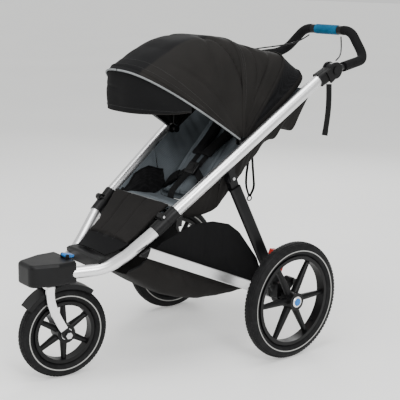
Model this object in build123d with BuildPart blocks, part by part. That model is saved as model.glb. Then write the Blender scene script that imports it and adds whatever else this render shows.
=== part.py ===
from build123d import *
import os
from math import atan2, cos, degrees, radians, sin, tan

os.makedirs("parts", exist_ok=True)

# Three-wheeled jogging stroller, in millimetres.
# +X is the stroller's own left, it faces -Y, and +Z is up.
# Depths are counted from the rear axle (behind it is positive), heights from the floor.

# ---- driving dimensions ----
rear_tyre_radius = 200
rear_tyre_width = 46
front_tyre_radius = 148
front_tyre_width = 46
wheel_track = 650
swivel_depth = -750
trail = 55
swing_at_rest = -7.2  # the front wheel stands turned a little to one side
handle_depth = 465
handle_height = 1074
grip_radius = 17

tube_radius = 19
tube_wall = 2.0
bar_height = 34
bar_thickness = 12
leg_width = 44
leg_thickness = 24
seat_half_width = 150
sheet = 4
running_clearance = 0.05
gap = 0.4

# The origin stands under the middle of the overall length.
wheel_reach = (front_tyre_radius - front_tyre_width / 2) * cos(radians(swing_at_rest)) + front_tyre_width / 2
front_limit = swivel_depth + trail * cos(radians(swing_at_rest)) - wheel_reach
rear_axle_y = -(front_limit + handle_depth + grip_radius) / 2


def at(x, depth, height):
    return Vector(x, rear_axle_y + depth, height)


def end_plane(start, end):
    """Plane at start, facing end, with its own x as near to sideways as it can be."""
    along = (end - start).normalized()
    sideways = (Vector(1, 0, 0) - along * along.X).normalized()
    return Plane(origin=start, x_dir=sideways, z_dir=along)


def side_plane(x):
    """Plane of the side view at x: local x is the depth, local y is the height."""
    return Plane(origin=(x, rear_axle_y, 0), x_dir=(0, 1, 0), z_dir=(1, 0, 0))


def between(start, end, share):
    return start + (end - start) * share


def keep(builder, label):
    builder.part.label = label
    export_step(builder.part, f"parts/{label}.step")


sides = ((1, "left"), (-1, "right"))

# ---- wheels ----
rim_wall = 12
bead_half_gap = 9
tyre_thickness = 4.5
spoke_count = 6
hub_radius = 30
hub_half_width = 29
bearing_radius = 14
mouth_radius = 19
bearing_width = 9
axle_radius = 6


def make_tyre(radius, width):
    """C-section tyre about the X axis at the origin, open towards the rim."""
    half = width / 2
    with BuildPart() as tyre:
        with BuildSketch(Plane.XZ):
            with Locations((0, radius - half)):
                Circle(half)
                Circle(half - tyre_thickness, mode=Mode.SUBTRACT)
            with Locations((0, radius - width)):
                Rectangle(2 * bead_half_gap, width, mode=Mode.SUBTRACT)
        revolve(axis=Axis.X)
    return tyre.part


def make_wheel_body(radius, width, bore_depth, first_spoke, notches):
    """Moulded rim, tapered spokes and hub, about the X axis at the origin."""
    seat_radius = radius - width
    inner_radius = seat_radius - rim_wall
    with BuildPart() as body:
        with BuildSketch(Plane.XZ):
            with Locations((0, (inner_radius + seat_radius) / 2)):
                Rectangle(34, rim_wall - gap)
            with Locations((0, seat_radius + 1)):
                Rectangle(2 * (bead_half_gap - gap), 6)
        revolve(axis=Axis.X)
        with BuildSketch(Plane.YZ.offset(-hub_half_width)):
            Circle(hub_radius)
        extrude(amount=2 * hub_half_width)
        for number in range(spoke_count):
            turn = first_spoke + number * 360 / spoke_count
            out = Vector(0, cos(radians(turn)), sin(radians(turn)))
            root = Plane(origin=out * (hub_radius - 6), x_dir=(1, 0, 0), z_dir=out)
            tip = Plane(origin=out * (inner_radius + 2), x_dir=(1, 0, 0), z_dir=out)
            with BuildSketch(root):
                Ellipse(15, 12)
            with BuildSketch(tip):
                Ellipse(9, 8)
            loft()
        with BuildSketch(Plane.YZ.offset(-hub_half_width)):
            Circle(axle_radius + 1)
        extrude(amount=2 * hub_half_width, mode=Mode.SUBTRACT)
        with BuildSketch(Plane.YZ.offset(-hub_half_width)):
            Circle(bearing_radius)
        extrude(amount=bearing_width, mode=Mode.SUBTRACT)
        with BuildSketch(Plane.YZ.offset(hub_half_width - bore_depth)):
            Circle(mouth_radius)
        extrude(amount=bore_depth, mode=Mode.SUBTRACT)
        if notches:
            with BuildSketch(Plane.YZ.offset(-hub_half_width)):
                with PolarLocations(hub_radius, notches):
                    Rectangle(2 * notch_depth, notch_width)
            extrude(amount=notch_length, mode=Mode.SUBTRACT)
    return body.part


def make_bearing(face_x):
    with BuildPart() as bearing:
        with BuildSketch(Plane.YZ.offset(face_x)):
            Circle(bearing_radius)
            Circle(axle_radius + running_clearance, mode=Mode.SUBTRACT)
        extrude(amount=bearing_width)
    return bearing.part


brake_notches = 12
notch_depth = 7
notch_width = 9
notch_length = 8
button_radius = 13
cap_depth = 12

for side, word in sides:
    centre = at(side * wheel_track / 2, 0, rear_tyre_radius)
    turn_over = 0 if side > 0 else 180
    place = Location(centre, (0, 0, turn_over))

    with BuildPart() as rear_tyre:
        add(make_tyre(rear_tyre_radius, rear_tyre_width).moved(place))
    keep(rear_tyre, f"rear_tyre_{word}")

    with BuildPart() as rear_wheel:
        add(make_wheel_body(rear_tyre_radius, rear_tyre_width, cap_depth, 0, brake_notches).moved(place))
    keep(rear_wheel, f"rear_wheel_rim_{word}")

    with BuildPart() as rear_bearing:
        add(make_bearing(-hub_half_width).moved(place))
    keep(rear_bearing, f"rear_bearing_{word}")

    # silver ring in the hub's mouth, round the release button
    with BuildPart() as hub_ring:
        with BuildSketch(Plane.YZ.offset(hub_half_width - cap_depth)):
            Circle(mouth_radius)
            Circle(button_radius + gap, mode=Mode.SUBTRACT)
        extrude(amount=cap_depth + 3)
        chamfer(hub_ring.faces().sort_by(Axis.X)[-1].outer_wire().edges(), 2)
        hub_ring.part = hub_ring.part.moved(place)
    keep(hub_ring, f"rear_hub_ring_{word}")

    with BuildPart() as release_button:
        with BuildSketch(Plane.YZ.offset(hub_half_width - 2)):
            Circle(button_radius)
        extrude(amount=7)
        fillet(release_button.faces().sort_by(Axis.X)[-1].edges(), 2)
        release_button.part = release_button.part.moved(place)
    keep(release_button, f"release_button_{word}")

# the stub axles are held by the legs' axle blocks and end inside the hubs
block_outer = wheel_track / 2 - hub_half_width - 5
axle_inner_end = block_outer - 28
axle_outer_end = wheel_track / 2 + hub_half_width - cap_depth - 3
with BuildPart() as stub_axles:
    for side, word in sides:
        with BuildSketch(Plane.YZ.offset(side * axle_inner_end)):
            with Locations((rear_axle_y, rear_tyre_radius)):
                Circle(axle_radius)
        extrude(amount=side * (axle_outer_end - axle_inner_end))
keep(stub_axles, "stub_axles")

# ---- front wheel, fork and fender: built straight, then turned about the swivel ----
swivel = at(0, swivel_depth, 0)
swing = Location(swivel) * Location((0, 0, 0), (0, 0, swing_at_rest)) * Location(-swivel)
front_axle_at = at(0, swivel_depth + trail, front_tyre_radius)
front_place = swing * Location(front_axle_at)

with BuildPart() as front_tyre:
    add(make_tyre(front_tyre_radius, front_tyre_width).moved(front_place))
keep(front_tyre, "front_tyre")

with BuildPart() as front_wheel:
    add(make_wheel_body(front_tyre_radius, front_tyre_width, bearing_width, 90, 0).moved(front_place))
keep(front_wheel, "front_wheel_rim")

with BuildPart() as front_bearings:
    with BuildSketch(Plane.YZ.offset(-hub_half_width)):
        Circle(bearing_radius)
        Circle(axle_radius + running_clearance, mode=Mode.SUBTRACT)
    extrude(amount=bearing_width)
    with BuildSketch(Plane.YZ.offset(hub_half_width - bearing_width)):
        Circle(mouth_radius)
        Circle(axle_radius + running_clearance, mode=Mode.SUBTRACT)
    extrude(amount=bearing_width)
    front_bearings.part = front_bearings.part.moved(front_place)
keep(front_bearings, "front_bearings")

fork_inner = 34
fork_thickness = 9
fork_width = 26
crown_bottom = 306
crown_top = 314
stem_radius = 12
stem_top = 372
fender_radius = 161
fender_half_width = 30
fender_thickness = 3
fork_outer = fork_inner + fork_thickness

with BuildPart() as fork:
    with BuildSketch(Plane.XY.offset(crown_bottom)):
        with Locations((swivel.X, swivel.Y)):
            RectangleRounded(2 * fork_outer, fork_width + 6, 10)
    extrude(amount=crown_top - crown_bottom)
    for side, word in sides:
        with BuildSketch(side_plane(side * fork_inner)):
            with BuildLine() as leg_line:
                Spline(
                    (swivel_depth - 2, crown_bottom + 2),
                    (swivel_depth - 1, crown_bottom - 40),
                    (swivel_depth + 17, crown_bottom - 92),
                    (swivel_depth + trail - 14, front_tyre_radius + 20),
                )
            trace(line_width=fork_width)
        extrude(amount=side * fork_thickness)
    with BuildSketch(Plane.XY.offset(crown_top)):
        with Locations((swivel.X, swivel.Y)):
            Circle(stem_radius)
    extrude(amount=stem_top - crown_top)
    fork.part = fork.part.moved(swing)
keep(fork, "fork")

with BuildPart() as dropouts:
    for side, word in sides:
        with BuildSketch(side_plane(side * (fork_inner + 1))):
            with BuildLine():
                Line(
                    (swivel_depth + trail - 14, front_tyre_radius + 20),
                    (swivel_depth + trail, front_tyre_radius),
                )
            trace(line_width=28)
            with Locations((swivel_depth + trail, front_tyre_radius)):
                Circle(17)
                Circle(axle_radius, mode=Mode.SUBTRACT)
        extrude(amount=side * (fork_thickness - 2))
    add(fork.part.moved(swing.inverse()), mode=Mode.SUBTRACT)
    dropouts.part = dropouts.part.moved(swing)
keep(dropouts, "fork_dropouts")

with BuildPart() as front_axle:
    with BuildSketch(Plane.YZ.offset(-fork_outer - 6)):
        with Locations((front_axle_at.Y, front_axle_at.Z)):
            Circle(axle_radius)
    extrude(amount=2 * (fork_outer + 6))
    for side, word in sides:
        with BuildSketch(Plane.YZ.offset(side * (fork_outer + gap))):
            with Locations((front_axle_at.Y, front_axle_at.Z)):
                RegularPolygon(11, 6)
        extrude(amount=side * 6)
    front_axle.part = front_axle.part.moved(swing)
keep(front_axle, "front_axle")

fender_span = 88
with BuildPart() as fender:
    with BuildSketch(Plane(origin=front_axle_at, x_dir=(1, 0, 0), z_dir=(0, -1, 0))):
        with Locations((0, fender_radius - fender_thickness / 2)):
            Rectangle(2 * fender_half_width, fender_thickness)
        for side, word in sides:
            with Locations((side * (fender_half_width - fender_thickness / 2), fender_radius - 8)):
                Rectangle(fender_thickness, 14)
    revolve(axis=Axis(front_axle_at, (1, 0, 0)), revolution_arc=fender_span)
    fender.part = fender.part.rotate(Axis(front_axle_at, (1, 0, 0)), -36)
    fender.part = fender.part.moved(swing)
keep(fender, "front_fender")

# ---- front frame ----
nose_front = -828
nose_back = -684
nose_bottom = 322
nose_top = 392
nose_boss_radius = 34
lower_route = [
    at(40, -722, 349),
    at(96, -594, 358),
    at(128, -536, 398),
    at(168, -449, 477),
]
lower_bends = [150, 150]
knuckle_low = at(165, -456, 471)
knuckle_high = at(180, -383, 530)
hub_foot = at(255, 156, 922)


def mirrored(point, side):
    return Vector(side * point.X, point.Y, point.Z)


def lower_tube_solid(side, wall):
    route = [mirrored(point, side) for point in lower_route]
    with BuildPart() as tube:
        with BuildLine() as path:
            FilletPolyline(*route, radius=lower_bends)
        with BuildSketch(end_plane(route[0], route[1])):
            Circle(tube_radius)
            if wall:
                Circle(tube_radius - wall, mode=Mode.SUBTRACT)
        sweep(path=path.wire())
        # cut square where the knuckle begins
        start = mirrored(knuckle_low, side)
        face = Plane(origin=start, z_dir=mirrored(knuckle_high - knuckle_low, side))
        split(bisect_by=face, keep=Keep.BOTTOM)
    return tube.part


for side, word in sides:
    with BuildPart() as lower_tube:
        add(lower_tube_solid(side, tube_wall))
    keep(lower_tube, f"lower_tube_{word}")

# the swivel lock is a short lever that rocks on a pin behind the nose's top edge
lever_pivot = at(18, nose_back - 8, nose_top + 8)
lever_half = 12
lever_pin_radius = 2

with BuildPart() as nose_housing:
    with BuildSketch(Plane.XY.offset(nose_bottom)):
        with BuildLine():
            Polyline(
                (-72, rear_axle_y + nose_back),
                (-72, rear_axle_y + nose_back - 60),
                (-44, rear_axle_y + nose_front),
                (44, rear_axle_y + nose_front),
                (72, rear_axle_y + nose_back - 60),
                (72, rear_axle_y + nose_back),
                close=True,
            )
        make_face()
    extrude(amount=nose_top - nose_bottom)
    upright = nose_housing.edges().filter_by(Axis.Z).sort_by(Axis.Y)
    fillet(upright[0:2], 26)
    fillet(nose_housing.faces().sort_by(Axis.Z)[-1].edges().sort_by(Axis.Y)[:-1], 12)
    fillet(nose_housing.faces().sort_by(Axis.Z)[0].edges().sort_by(Axis.Y)[:-1], 8)
    with BuildSketch(Plane.XY.offset(crown_top + gap)):
        with Locations((swivel.X, swivel.Y)):
            Circle(nose_boss_radius)
    extrude(amount=nose_bottom + 10 - crown_top)
    with BuildSketch(Plane.XY.offset(crown_top)):
        with Locations((swivel.X, swivel.Y)):
            Circle(20)
    extrude(amount=stem_top + 6 - crown_top, mode=Mode.SUBTRACT)
    for side, word in sides:
        add(lower_tube_solid(side, 0), mode=Mode.SUBTRACT)
    # two small ears and the pin of the swivel lock
    for x in (lever_pivot.X - lever_half - 5, lever_pivot.X + lever_half + gap):
        with BuildSketch(side_plane(x)):
            with Locations((lever_pivot.Y - rear_axle_y, lever_pivot.Z)):
                Circle(6)
            with Locations((lever_pivot.Y - rear_axle_y, nose_top + 2)):
                Rectangle(12, 12)
        extrude(amount=4.6)
    with BuildSketch(side_plane(lever_pivot.X - lever_half - 2)):
        with Locations((lever_pivot.Y - rear_axle_y, lever_pivot.Z)):
            Circle(lever_pin_radius)
    extrude(amount=2 * lever_half + 4)
keep(nose_housing, "nose_housing")

with BuildPart() as swivel_bearings:
    for height in (crown_top + 2, stem_top - 24):
        with BuildSketch(Plane.XY.offset(height)):
            with Locations((swivel.X, swivel.Y)):
                Circle(20)
                Circle(stem_radius + running_clearance, mode=Mode.SUBTRACT)
        extrude(amount=12)
keep(swivel_bearings, "swivel_bearings")

with BuildPart() as swivel_lock:
    with BuildSketch(side_plane(lever_pivot.X - lever_half)):
        with Locations((lever_pivot.Y - rear_axle_y, lever_pivot.Z)):
            Circle(6)
        with BuildLine():
            Polyline(
                (nose_back - 9, nose_top + 3),
                (nose_back + 16, nose_top + 1),
                (nose_back + 20, nose_top + 8),
                (nose_back - 6, nose_top + 14),
                close=True,
            )
        make_face()
        with Locations((lever_pivot.Y - rear_axle_y, lever_pivot.Z)):
            Circle(lever_pin_radius + running_clearance, mode=Mode.SUBTRACT)
    extrude(amount=2 * lever_half)
    fillet(swivel_lock.faces().sort_by(Axis.Y)[-1].edges().filter_by(Axis.X), 2.5)
keep(swivel_lock, "swivel_lock_lever")

# ---- fold knuckles: a tongue below, two ears above, hinged over the tube ----
knuckle_radius = 22
ear_radius = 11
tongue_half = 5
ear_outer = 11
pivot_rise = 24
pin_radius = 4
spigot_slack = 3
split_middle = between(knuckle_low, knuckle_high, 0.5)
slope = atan2(knuckle_high.Z - knuckle_low.Z, knuckle_high.Y - knuckle_low.Y)
pivot_depth = split_middle.Y - rear_axle_y - pivot_rise * sin(slope)
pivot_height = split_middle.Z + pivot_rise * cos(slope)
split_normal = Vector(0, cos(slope), sin(slope))


def knuckle(side, start, far, spigot_to, is_lower):
    """Sleeve from start to the split face, with a spigot that fills the tube's end."""
    away = (start - far).normalized()
    middle = mirrored(split_middle, side)
    x = side * split_middle.X
    with BuildPart() as piece:
        with BuildSketch(end_plane(start, far)):
            Circle(knuckle_radius)
        extrude(amount=(far - start).length)
        face = Plane(origin=middle + split_normal * (-gap if is_lower else gap), z_dir=split_normal)
        split(bisect_by=face, keep=Keep.BOTTOM if is_lower else Keep.TOP)
        with BuildSketch(end_plane(start, start + away)):
            Circle(tube_radius - tube_wall - spigot_slack)
        extrude(amount=spigot_to)
        slabs = [(-tongue_half, 2 * tongue_half)]
        if not is_lower:
            ear = ear_outer - tongue_half - gap
            slabs = [(-ear_outer, ear), (tongue_half + gap, ear)]
        others = [(-tongue_half - gap, 2 * tongue_half + 2 * gap)]
        if is_lower:
            room = ear_outer - tongue_half + gap
            others = [(-ear_outer - gap, room), (tongue_half, room)]
        for offset_x, thick in others:
            with BuildSketch(side_plane(x + offset_x)):
                with Locations((pivot_depth, pivot_height)):
                    Circle(ear_radius + gap)
            extrude(amount=thick, mode=Mode.SUBTRACT)
        turn = degrees(slope)
        for offset_x, thick in slabs:
            with BuildSketch(side_plane(x + offset_x)):
                with Locations((pivot_depth, pivot_height)):
                    Circle(ear_radius)
                back = -1 if is_lower else 1
                foot_y = pivot_depth + back * (ear_radius - 3) * cos(slope) + 8 * sin(slope)
                foot_z = pivot_height + back * (ear_radius - 3) * sin(slope) - 8 * cos(slope)
                with Locations(Location((foot_y, foot_z), turn)):
                    Rectangle(10, 16)
                with Locations((pivot_depth, pivot_height)):
                    Circle(pin_radius + (0 if is_lower else running_clearance), mode=Mode.SUBTRACT)
            extrude(amount=thick)
        # the pin passes clear of the sleeve beside the ears
        with BuildSketch(side_plane(x - ear_outer - 4)):
            with Locations((pivot_depth, pivot_height)):
                Circle(pin_radius + (0 if is_lower else running_clearance))
        extrude(amount=2 * ear_outer + 8, mode=Mode.SUBTRACT)
    return piece.part


with BuildPart() as lower_knuckles:
    for side, word in sides:
        add(knuckle(side, mirrored(knuckle_low, side), mirrored(knuckle_high, side), 14, True))
keep(lower_knuckles, "lower_knuckles")

with BuildPart() as upper_knuckles:
    for side, word in sides:
        add(knuckle(side, mirrored(knuckle_high, side), mirrored(knuckle_low, side), 10, False))
keep(upper_knuckles, "upper_knuckles")

with BuildPart() as fold_pins:
    for side, word in sides:
        with BuildSketch(side_plane(side * split_middle.X - ear_outer - 3)):
            with Locations((pivot_depth, pivot_height)):
                Circle(pin_radius)
        extrude(amount=2 * ear_outer + 6)
keep(fold_pins, "fold_pins")

# ---- upper frame ----
tube_along = (hub_foot - knuckle_high).normalized()


def on_tube(depth):
    share = (rear_axle_y + depth - knuckle_high.Y) / (hub_foot.Y - knuckle_high.Y)
    return between(knuckle_high, hub_foot, share)


def upper_tube_solid(side, wall):
    start = mirrored(knuckle_high, side)
    far = mirrored(hub_foot + tube_along * 20, side)
    with BuildPart() as tube:
        with BuildSketch(end_plane(start, far)):
            Circle(tube_radius)
            if wall:
                Circle(tube_radius - wall, mode=Mode.SUBTRACT)
        extrude(amount=(far - start).length)
    return tube.part


leg_top = at(203, -177, 617)
leg_foot = at(block_outer - 23, 0, rear_tyre_radius)
bracket_half = 15
leg_slot_half = leg_thickness / 2 - 1
boss_radius = 19
leg_pin_radius = 5

for side, word in sides:
    with BuildPart() as upper_tube:
        add(upper_tube_solid(side, tube_wall))
    keep(upper_tube, f"upper_tube_{word}")

# saddles under the tubes that carry the rear legs' pins
saddle = on_tube(leg_top.Y - rear_axle_y)
saddle_depth = saddle.Y - rear_axle_y
top_depth = leg_top.Y - rear_axle_y
with BuildPart() as leg_brackets:
    for side, word in sides:
        with BuildSketch(side_plane(side * leg_top.X - bracket_half)):
            with BuildLine():
                Polyline(
                    (saddle_depth - 28, saddle.Z - 24),
                    (saddle_depth + 4, saddle.Z + 4),
                    (top_depth + 5, leg_top.Z + 9),
                    (top_depth + 4, leg_top.Z - 13),
                    (top_depth - 10, leg_top.Z - 10),
                    close=True,
                )
            make_face()
            with Locations((top_depth, leg_top.Z)):
                Circle(14)
        extrude(amount=2 * bracket_half)
        with BuildSketch(side_plane(side * leg_top.X - leg_slot_half)):
            with Locations((top_depth, leg_top.Z)):
                Circle(boss_radius + 2)
        extrude(amount=2 * leg_slot_half, mode=Mode.SUBTRACT)
        with BuildSketch(side_plane(side * leg_top.X - bracket_half)):
            with Locations((top_depth, leg_top.Z)):
                Circle(leg_pin_radius)
        extrude(amount=2 * bracket_half, mode=Mode.SUBTRACT)
        add(upper_tube_solid(side, 0), mode=Mode.SUBTRACT)
keep(leg_brackets, "leg_brackets")

with BuildPart() as leg_pins:
    for side, word in sides:
        with BuildSketch(side_plane(side * leg_top.X - bracket_half - 3)):
            with Locations((leg_top.Y - rear_axle_y, leg_top.Z)):
                Circle(leg_pin_radius)
        extrude(amount=2 * bracket_half + 6)
keep(leg_pins, "leg_pins")

# cross tube under the seat's front edge, held by the upper knuckles
cross_radius = 10
cross_at = at(0, -366, 484)
with BuildPart() as seat_cross_tube:
    with BuildSketch(Plane.YZ.offset(-166)):
        with Locations((cross_at.Y, cross_at.Z)):
            Circle(cross_radius)
            Circle(cross_radius - 1.5, mode=Mode.SUBTRACT)
    extrude(amount=332)
    for side, word in sides:
        with BuildSketch(side_plane(side * (seat_half_width + 3))):
            with BuildLine():
                Polyline((-378, 476), (-354, 476), (-350, 545), (-372, 530), close=True)
            make_face()
        extrude(amount=side * 22)
        add(knuckle(side, mirrored(knuckle_high, side), mirrored(knuckle_low, side), 10, False), mode=Mode.SUBTRACT)
        add(upper_tube_solid(side, 0), mode=Mode.SUBTRACT)
keep(seat_cross_tube, "seat_cross_tube")

# ---- rear legs, axle and brake ----
leg_run = (leg_foot - leg_top).normalized()
leg_neck = 36
leg_end_gap = 14
axle_tube_radius = 14
block_width = 34
block_inner = block_outer - block_width

brake_depth = 40
brake_height = 250
brake_shaft_radius = 6


def axle_block_solid(side):
    """Block at the leg's foot: takes the leg, the cross axle, the stub axle and the brake shaft."""
    with BuildPart() as block:
        with BuildSketch(Plane.YZ.offset(side * block_inner)):
            with Locations((rear_axle_y, rear_tyre_radius)):
                Circle(27)
            with Locations((rear_axle_y - 7, rear_tyre_radius + 26)):
                RectangleRounded(50, 56, 8)
            with BuildLine():
                Line(
                    (rear_axle_y + 8, rear_tyre_radius + 20),
                    (rear_axle_y + brake_depth, brake_height),
                )
            trace(line_width=24)
            with Locations((rear_axle_y + brake_depth, brake_height)):
                Circle(12)
        extrude(amount=side * (block_outer - block_inner))
        with BuildSketch(Plane.YZ.offset(side * (block_inner - 1))):
            with Locations((rear_axle_y, rear_tyre_radius)):
                Circle(axle_radius)
            with Locations((rear_axle_y + brake_depth, brake_height)):
                Circle(brake_shaft_radius + running_clearance)
        extrude(amount=side * (block_width + 2), mode=Mode.SUBTRACT)
    return block.part


for side, word in sides:
    top = mirrored(leg_top, side)
    foot = mirrored(leg_foot, side)
    run = mirrored(leg_run, side)
    with BuildPart() as rear_leg:
        with BuildSketch(end_plane(top + run * leg_neck, foot)):
            RectangleRounded(leg_thickness, leg_width, 11)
        extrude(amount=(foot - top).length - leg_neck - leg_end_gap)
        with BuildSketch(side_plane(top.X - leg_slot_half + gap)):
            with Locations((top_depth, leg_top.Z)):
                Circle(boss_radius)
            with BuildLine():
                Line(
                    (top_depth, leg_top.Z),
                    (top_depth + leg_run.Y * 46, leg_top.Z + leg_run.Z * 46),
                )
            trace(line_width=2 * boss_radius - 6)
            with Locations((top_depth, leg_top.Z)):
                Circle(leg_pin_radius + running_clearance, mode=Mode.SUBTRACT)
        extrude(amount=2 * leg_slot_half - 2 * gap)
        add(axle_block_solid(side), mode=Mode.SUBTRACT)
        with BuildSketch(Plane.YZ.offset(side * (block_inner - 30))):
            with Locations((rear_axle_y, rear_tyre_radius)):
                Circle(axle_tube_radius + gap)
        extrude(amount=side * 30, mode=Mode.SUBTRACT)
    keep(rear_leg, f"rear_leg_{word}")

with BuildPart() as axle_blocks:
    for side, word in sides:
        add(axle_block_solid(side))
keep(axle_blocks, "axle_blocks")

with BuildPart() as rear_axle:
    with BuildSketch(Plane.YZ.offset(-block_inner)):
        with Locations((rear_axle_y, rear_tyre_radius)):
            Circle(axle_tube_radius)
            Circle(axle_tube_radius - 3, mode=Mode.SUBTRACT)
    extrude(amount=2 * block_inner)
keep(rear_axle, "rear_axle_tube")

# brake: a pedal and two pawls on one cross shaft; the pawls drop into the hubs' notches
pawl_face = block_outer + 5.5
pawl_thickness = 5
pawl_length = 52
pawl_rest = hub_radius + 2
with BuildPart() as brake_shaft:
    with BuildSketch(Plane.YZ.offset(-pawl_face - pawl_thickness)):
        with Locations((rear_axle_y + brake_depth, brake_height)):
            Circle(brake_shaft_radius)
    extrude(amount=2 * (pawl_face + pawl_thickness))
    for side, word in sides:
        with BuildSketch(Plane.YZ.offset(side * pawl_face)):
            with Locations((rear_axle_y + brake_depth + 2, brake_height - pawl_length / 2 + 2)):
                Rectangle(8, pawl_length + 2)
            with Locations((rear_axle_y + brake_depth, brake_height)):
                Circle(10)
            with Locations((rear_axle_y + (pawl_rest + brake_depth) / 2 + 2, brake_height - pawl_length)):
                Rectangle(brake_depth - pawl_rest + 4, 5)
        extrude(amount=side * pawl_thickness)
keep(brake_shaft, "brake_shaft")

pedal_from = 150
pedal_width = 70
with BuildPart() as brake_pedal:
    with BuildSketch(side_plane(pedal_from)):
        with Locations((brake_depth, brake_height)):
            Circle(12)
        with BuildLine():
            Polyline(
                (brake_depth - 8, brake_height + 8),
                (brake_depth + 22, brake_height + 80),
                (brake_depth + 46, brake_height + 76),
                (brake_depth + 11, brake_height + 2),
                close=True,
            )
        make_face()
        with Locations((brake_depth, brake_height)):
            Circle(brake_shaft_radius, mode=Mode.SUBTRACT)
    extrude(amount=pedal_width)
    fillet(brake_pedal.faces().sort_by(Axis.Z)[-1].edges().filter_by(Axis.X), 3)
keep(brake_pedal, "brake_pedal")

# ---- lower rails and basket ----
rail_front = at(172, -484, 409)
rail_back = at(block_inner - 11, 0, rear_tyre_radius)
eye_radius = 21


def rail_solid(side, width, height):
    start = mirrored(rail_front, side)
    far = mirrored(rail_back, side)
    with BuildPart() as bar:
        with BuildSketch(end_plane(start, far)):
            RectangleRounded(width, height, 3)
        extrude(amount=(far - start).length)
    return bar.part


with BuildPart() as lower_rails:
    for side, word in sides:
        add(rail_solid(side, bar_thickness, bar_height))
        with BuildSketch(Plane.YZ.offset(side * (rail_back.X - bar_thickness / 2))):
            with Locations((rail_back.Y, rail_back.Z)):
                Circle(eye_radius)
        extrude(amount=side * bar_thickness)
        with BuildSketch(Plane.YZ.offset(side * (rail_back.X - 20))):
            with Locations((rail_back.Y, rail_back.Z)):
                Circle(axle_tube_radius + running_clearance)
        extrude(amount=side * 40, mode=Mode.SUBTRACT)
keep(lower_rails, "lower_rails")

with BuildPart() as rail_connectors:
    for side, word in sides:
        start = mirrored(rail_front, side)
        ahead = start - mirrored(rail_back - rail_front, side).normalized() * 26
        with BuildSketch(end_plane(start, ahead)):
            RectangleRounded(bar_thickness + 4, bar_height - 2, 5)
        with BuildSketch(end_plane(ahead + Vector(0, -2, -14), ahead - (start - ahead))):
            RectangleRounded(bar_thickness, 14, 4)
        loft()
keep(rail_connectors, "rail_connectors")

basket_front = -540
basket_back = -36
basket_wall = 3


def basket_block(inset, lift):
    with BuildPart() as block:
        with BuildSketch(side_plane(-260)):
            with BuildLine():
                Polyline(
                    (basket_front, 350 + lift),
                    (-500, 362 + lift),
                    (-420, 430 + lift),
                    (-313, 478 + lift),
                    (-238, 478 + lift),
                    (-177, 462 + lift),
                    (-136, 430 + lift),
                    (-64, 330 + lift),
                    (basket_back, 250 + lift),
                    (basket_back, 214),
                    (-127, 196),
                    (-246, 194),
                    (-390, 240),
                    (basket_front, 336),
                    close=True,
                )
            make_face()
            if inset:
                offset(amount=-inset, kind=Kind.INTERSECTION, mode=Mode.REPLACE)
        extrude(amount=520)
        with BuildSketch(Plane.XY.offset(100)):
            front_half = 142 - inset
            back_half = 224 - inset
            with BuildLine():
                Polyline(
                    (-front_half, rear_axle_y + basket_front - 20),
                    (-back_half, rear_axle_y + basket_back + 20),
                    (back_half, rear_axle_y + basket_back + 20),
                    (front_half, rear_axle_y + basket_front - 20),
                    close=True,
                )
            make_face()
        extrude(amount=600, mode=Mode.INTERSECT)
    return block.part


with BuildPart() as basket:
    add(basket_block(0, 0))
    add(basket_block(basket_wall, 60), mode=Mode.SUBTRACT)
keep(basket, "basket")

# ---- footrest and leg panel ----
with BuildPart() as footrest:
    with BuildSketch(side_plane(-96)):
        with BuildLine():
            Polyline(
                (-612, 352),
                (-516, 389),
                (-516, 395),
                (-606, 392),
                (-616, 388),
                close=True,
            )
        make_face()
    extrude(amount=192)
    for side, word in sides:
        add(lower_tube_solid(side, 0), mode=Mode.SUBTRACT)
    footrest.part = footrest.part.solids().sort_by(SortBy.VOLUME)[-1]
keep(footrest, "footrest")

panel_thickness = 12
panel_half_top = 165 - tube_radius
panel_half_middle = 147 - tube_radius
panel_half_foot = 78
panel_top = at(0, -394, 541)
panel_middle = at(0, -486, 450)
panel_foot = at(0, -560, 402)
with BuildPart() as leg_panel:
    with BuildSketch(side_plane(-160)):
        with BuildLine():
            Polyline(
                (panel_top.Y - rear_axle_y, panel_top.Z),
                (panel_middle.Y - rear_axle_y, panel_middle.Z),
                (panel_foot.Y - rear_axle_y, panel_foot.Z),
            )
        trace(line_width=panel_thickness)
    extrude(amount=320)
    with BuildSketch(Plane.XY.offset(300)):
        with BuildLine():
            Polyline(
                (-panel_half_top, panel_top.Y + 20),
                (-panel_half_middle, panel_middle.Y),
                (-panel_half_foot, panel_foot.Y - 20),
                (panel_half_foot, panel_foot.Y - 20),
                (panel_half_middle, panel_middle.Y),
                (panel_half_top, panel_top.Y + 20),
                close=True,
            )
        make_face()
    extrude(amount=400, mode=Mode.INTERSECT)
keep(leg_panel, "leg_panel")

# ---- seat ----
bucket_wall = 4
seat_front_depth = -371
bight_depth = -226
bight_height = 500
recline_angle = 49
back_length = 500
back_thickness = 24


def tube_height(depth):
    return on_tube(depth).Z


with BuildPart() as seat_base:
    for x, reach in ((-seat_half_width, bucket_wall), (seat_half_width - bucket_wall, bucket_wall)):
        with BuildSketch(side_plane(x)):
            with BuildLine():
                Polyline(
                    (seat_front_depth, 536),
                    (60, tube_height(60) - 4),
                    (36, 780),
                    (-30, 700),
                    (-120, 620),
                    (-200, 540),
                    (-240, 486),
                    (-300, 486),
                    (seat_front_depth, 500),
                    close=True,
                )
            make_face()
        extrude(amount=reach)
    with BuildSketch(side_plane(-seat_half_width)):
        with BuildLine():
            Polyline(
                (seat_front_depth, 528),
                (-300, 512),
                (-244, 504),
                (-244, 486),
                (-300, 486),
                (seat_front_depth, 500),
                close=True,
            )
        make_face()
    extrude(amount=2 * seat_half_width)
keep(seat_base, "seat_base")

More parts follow.
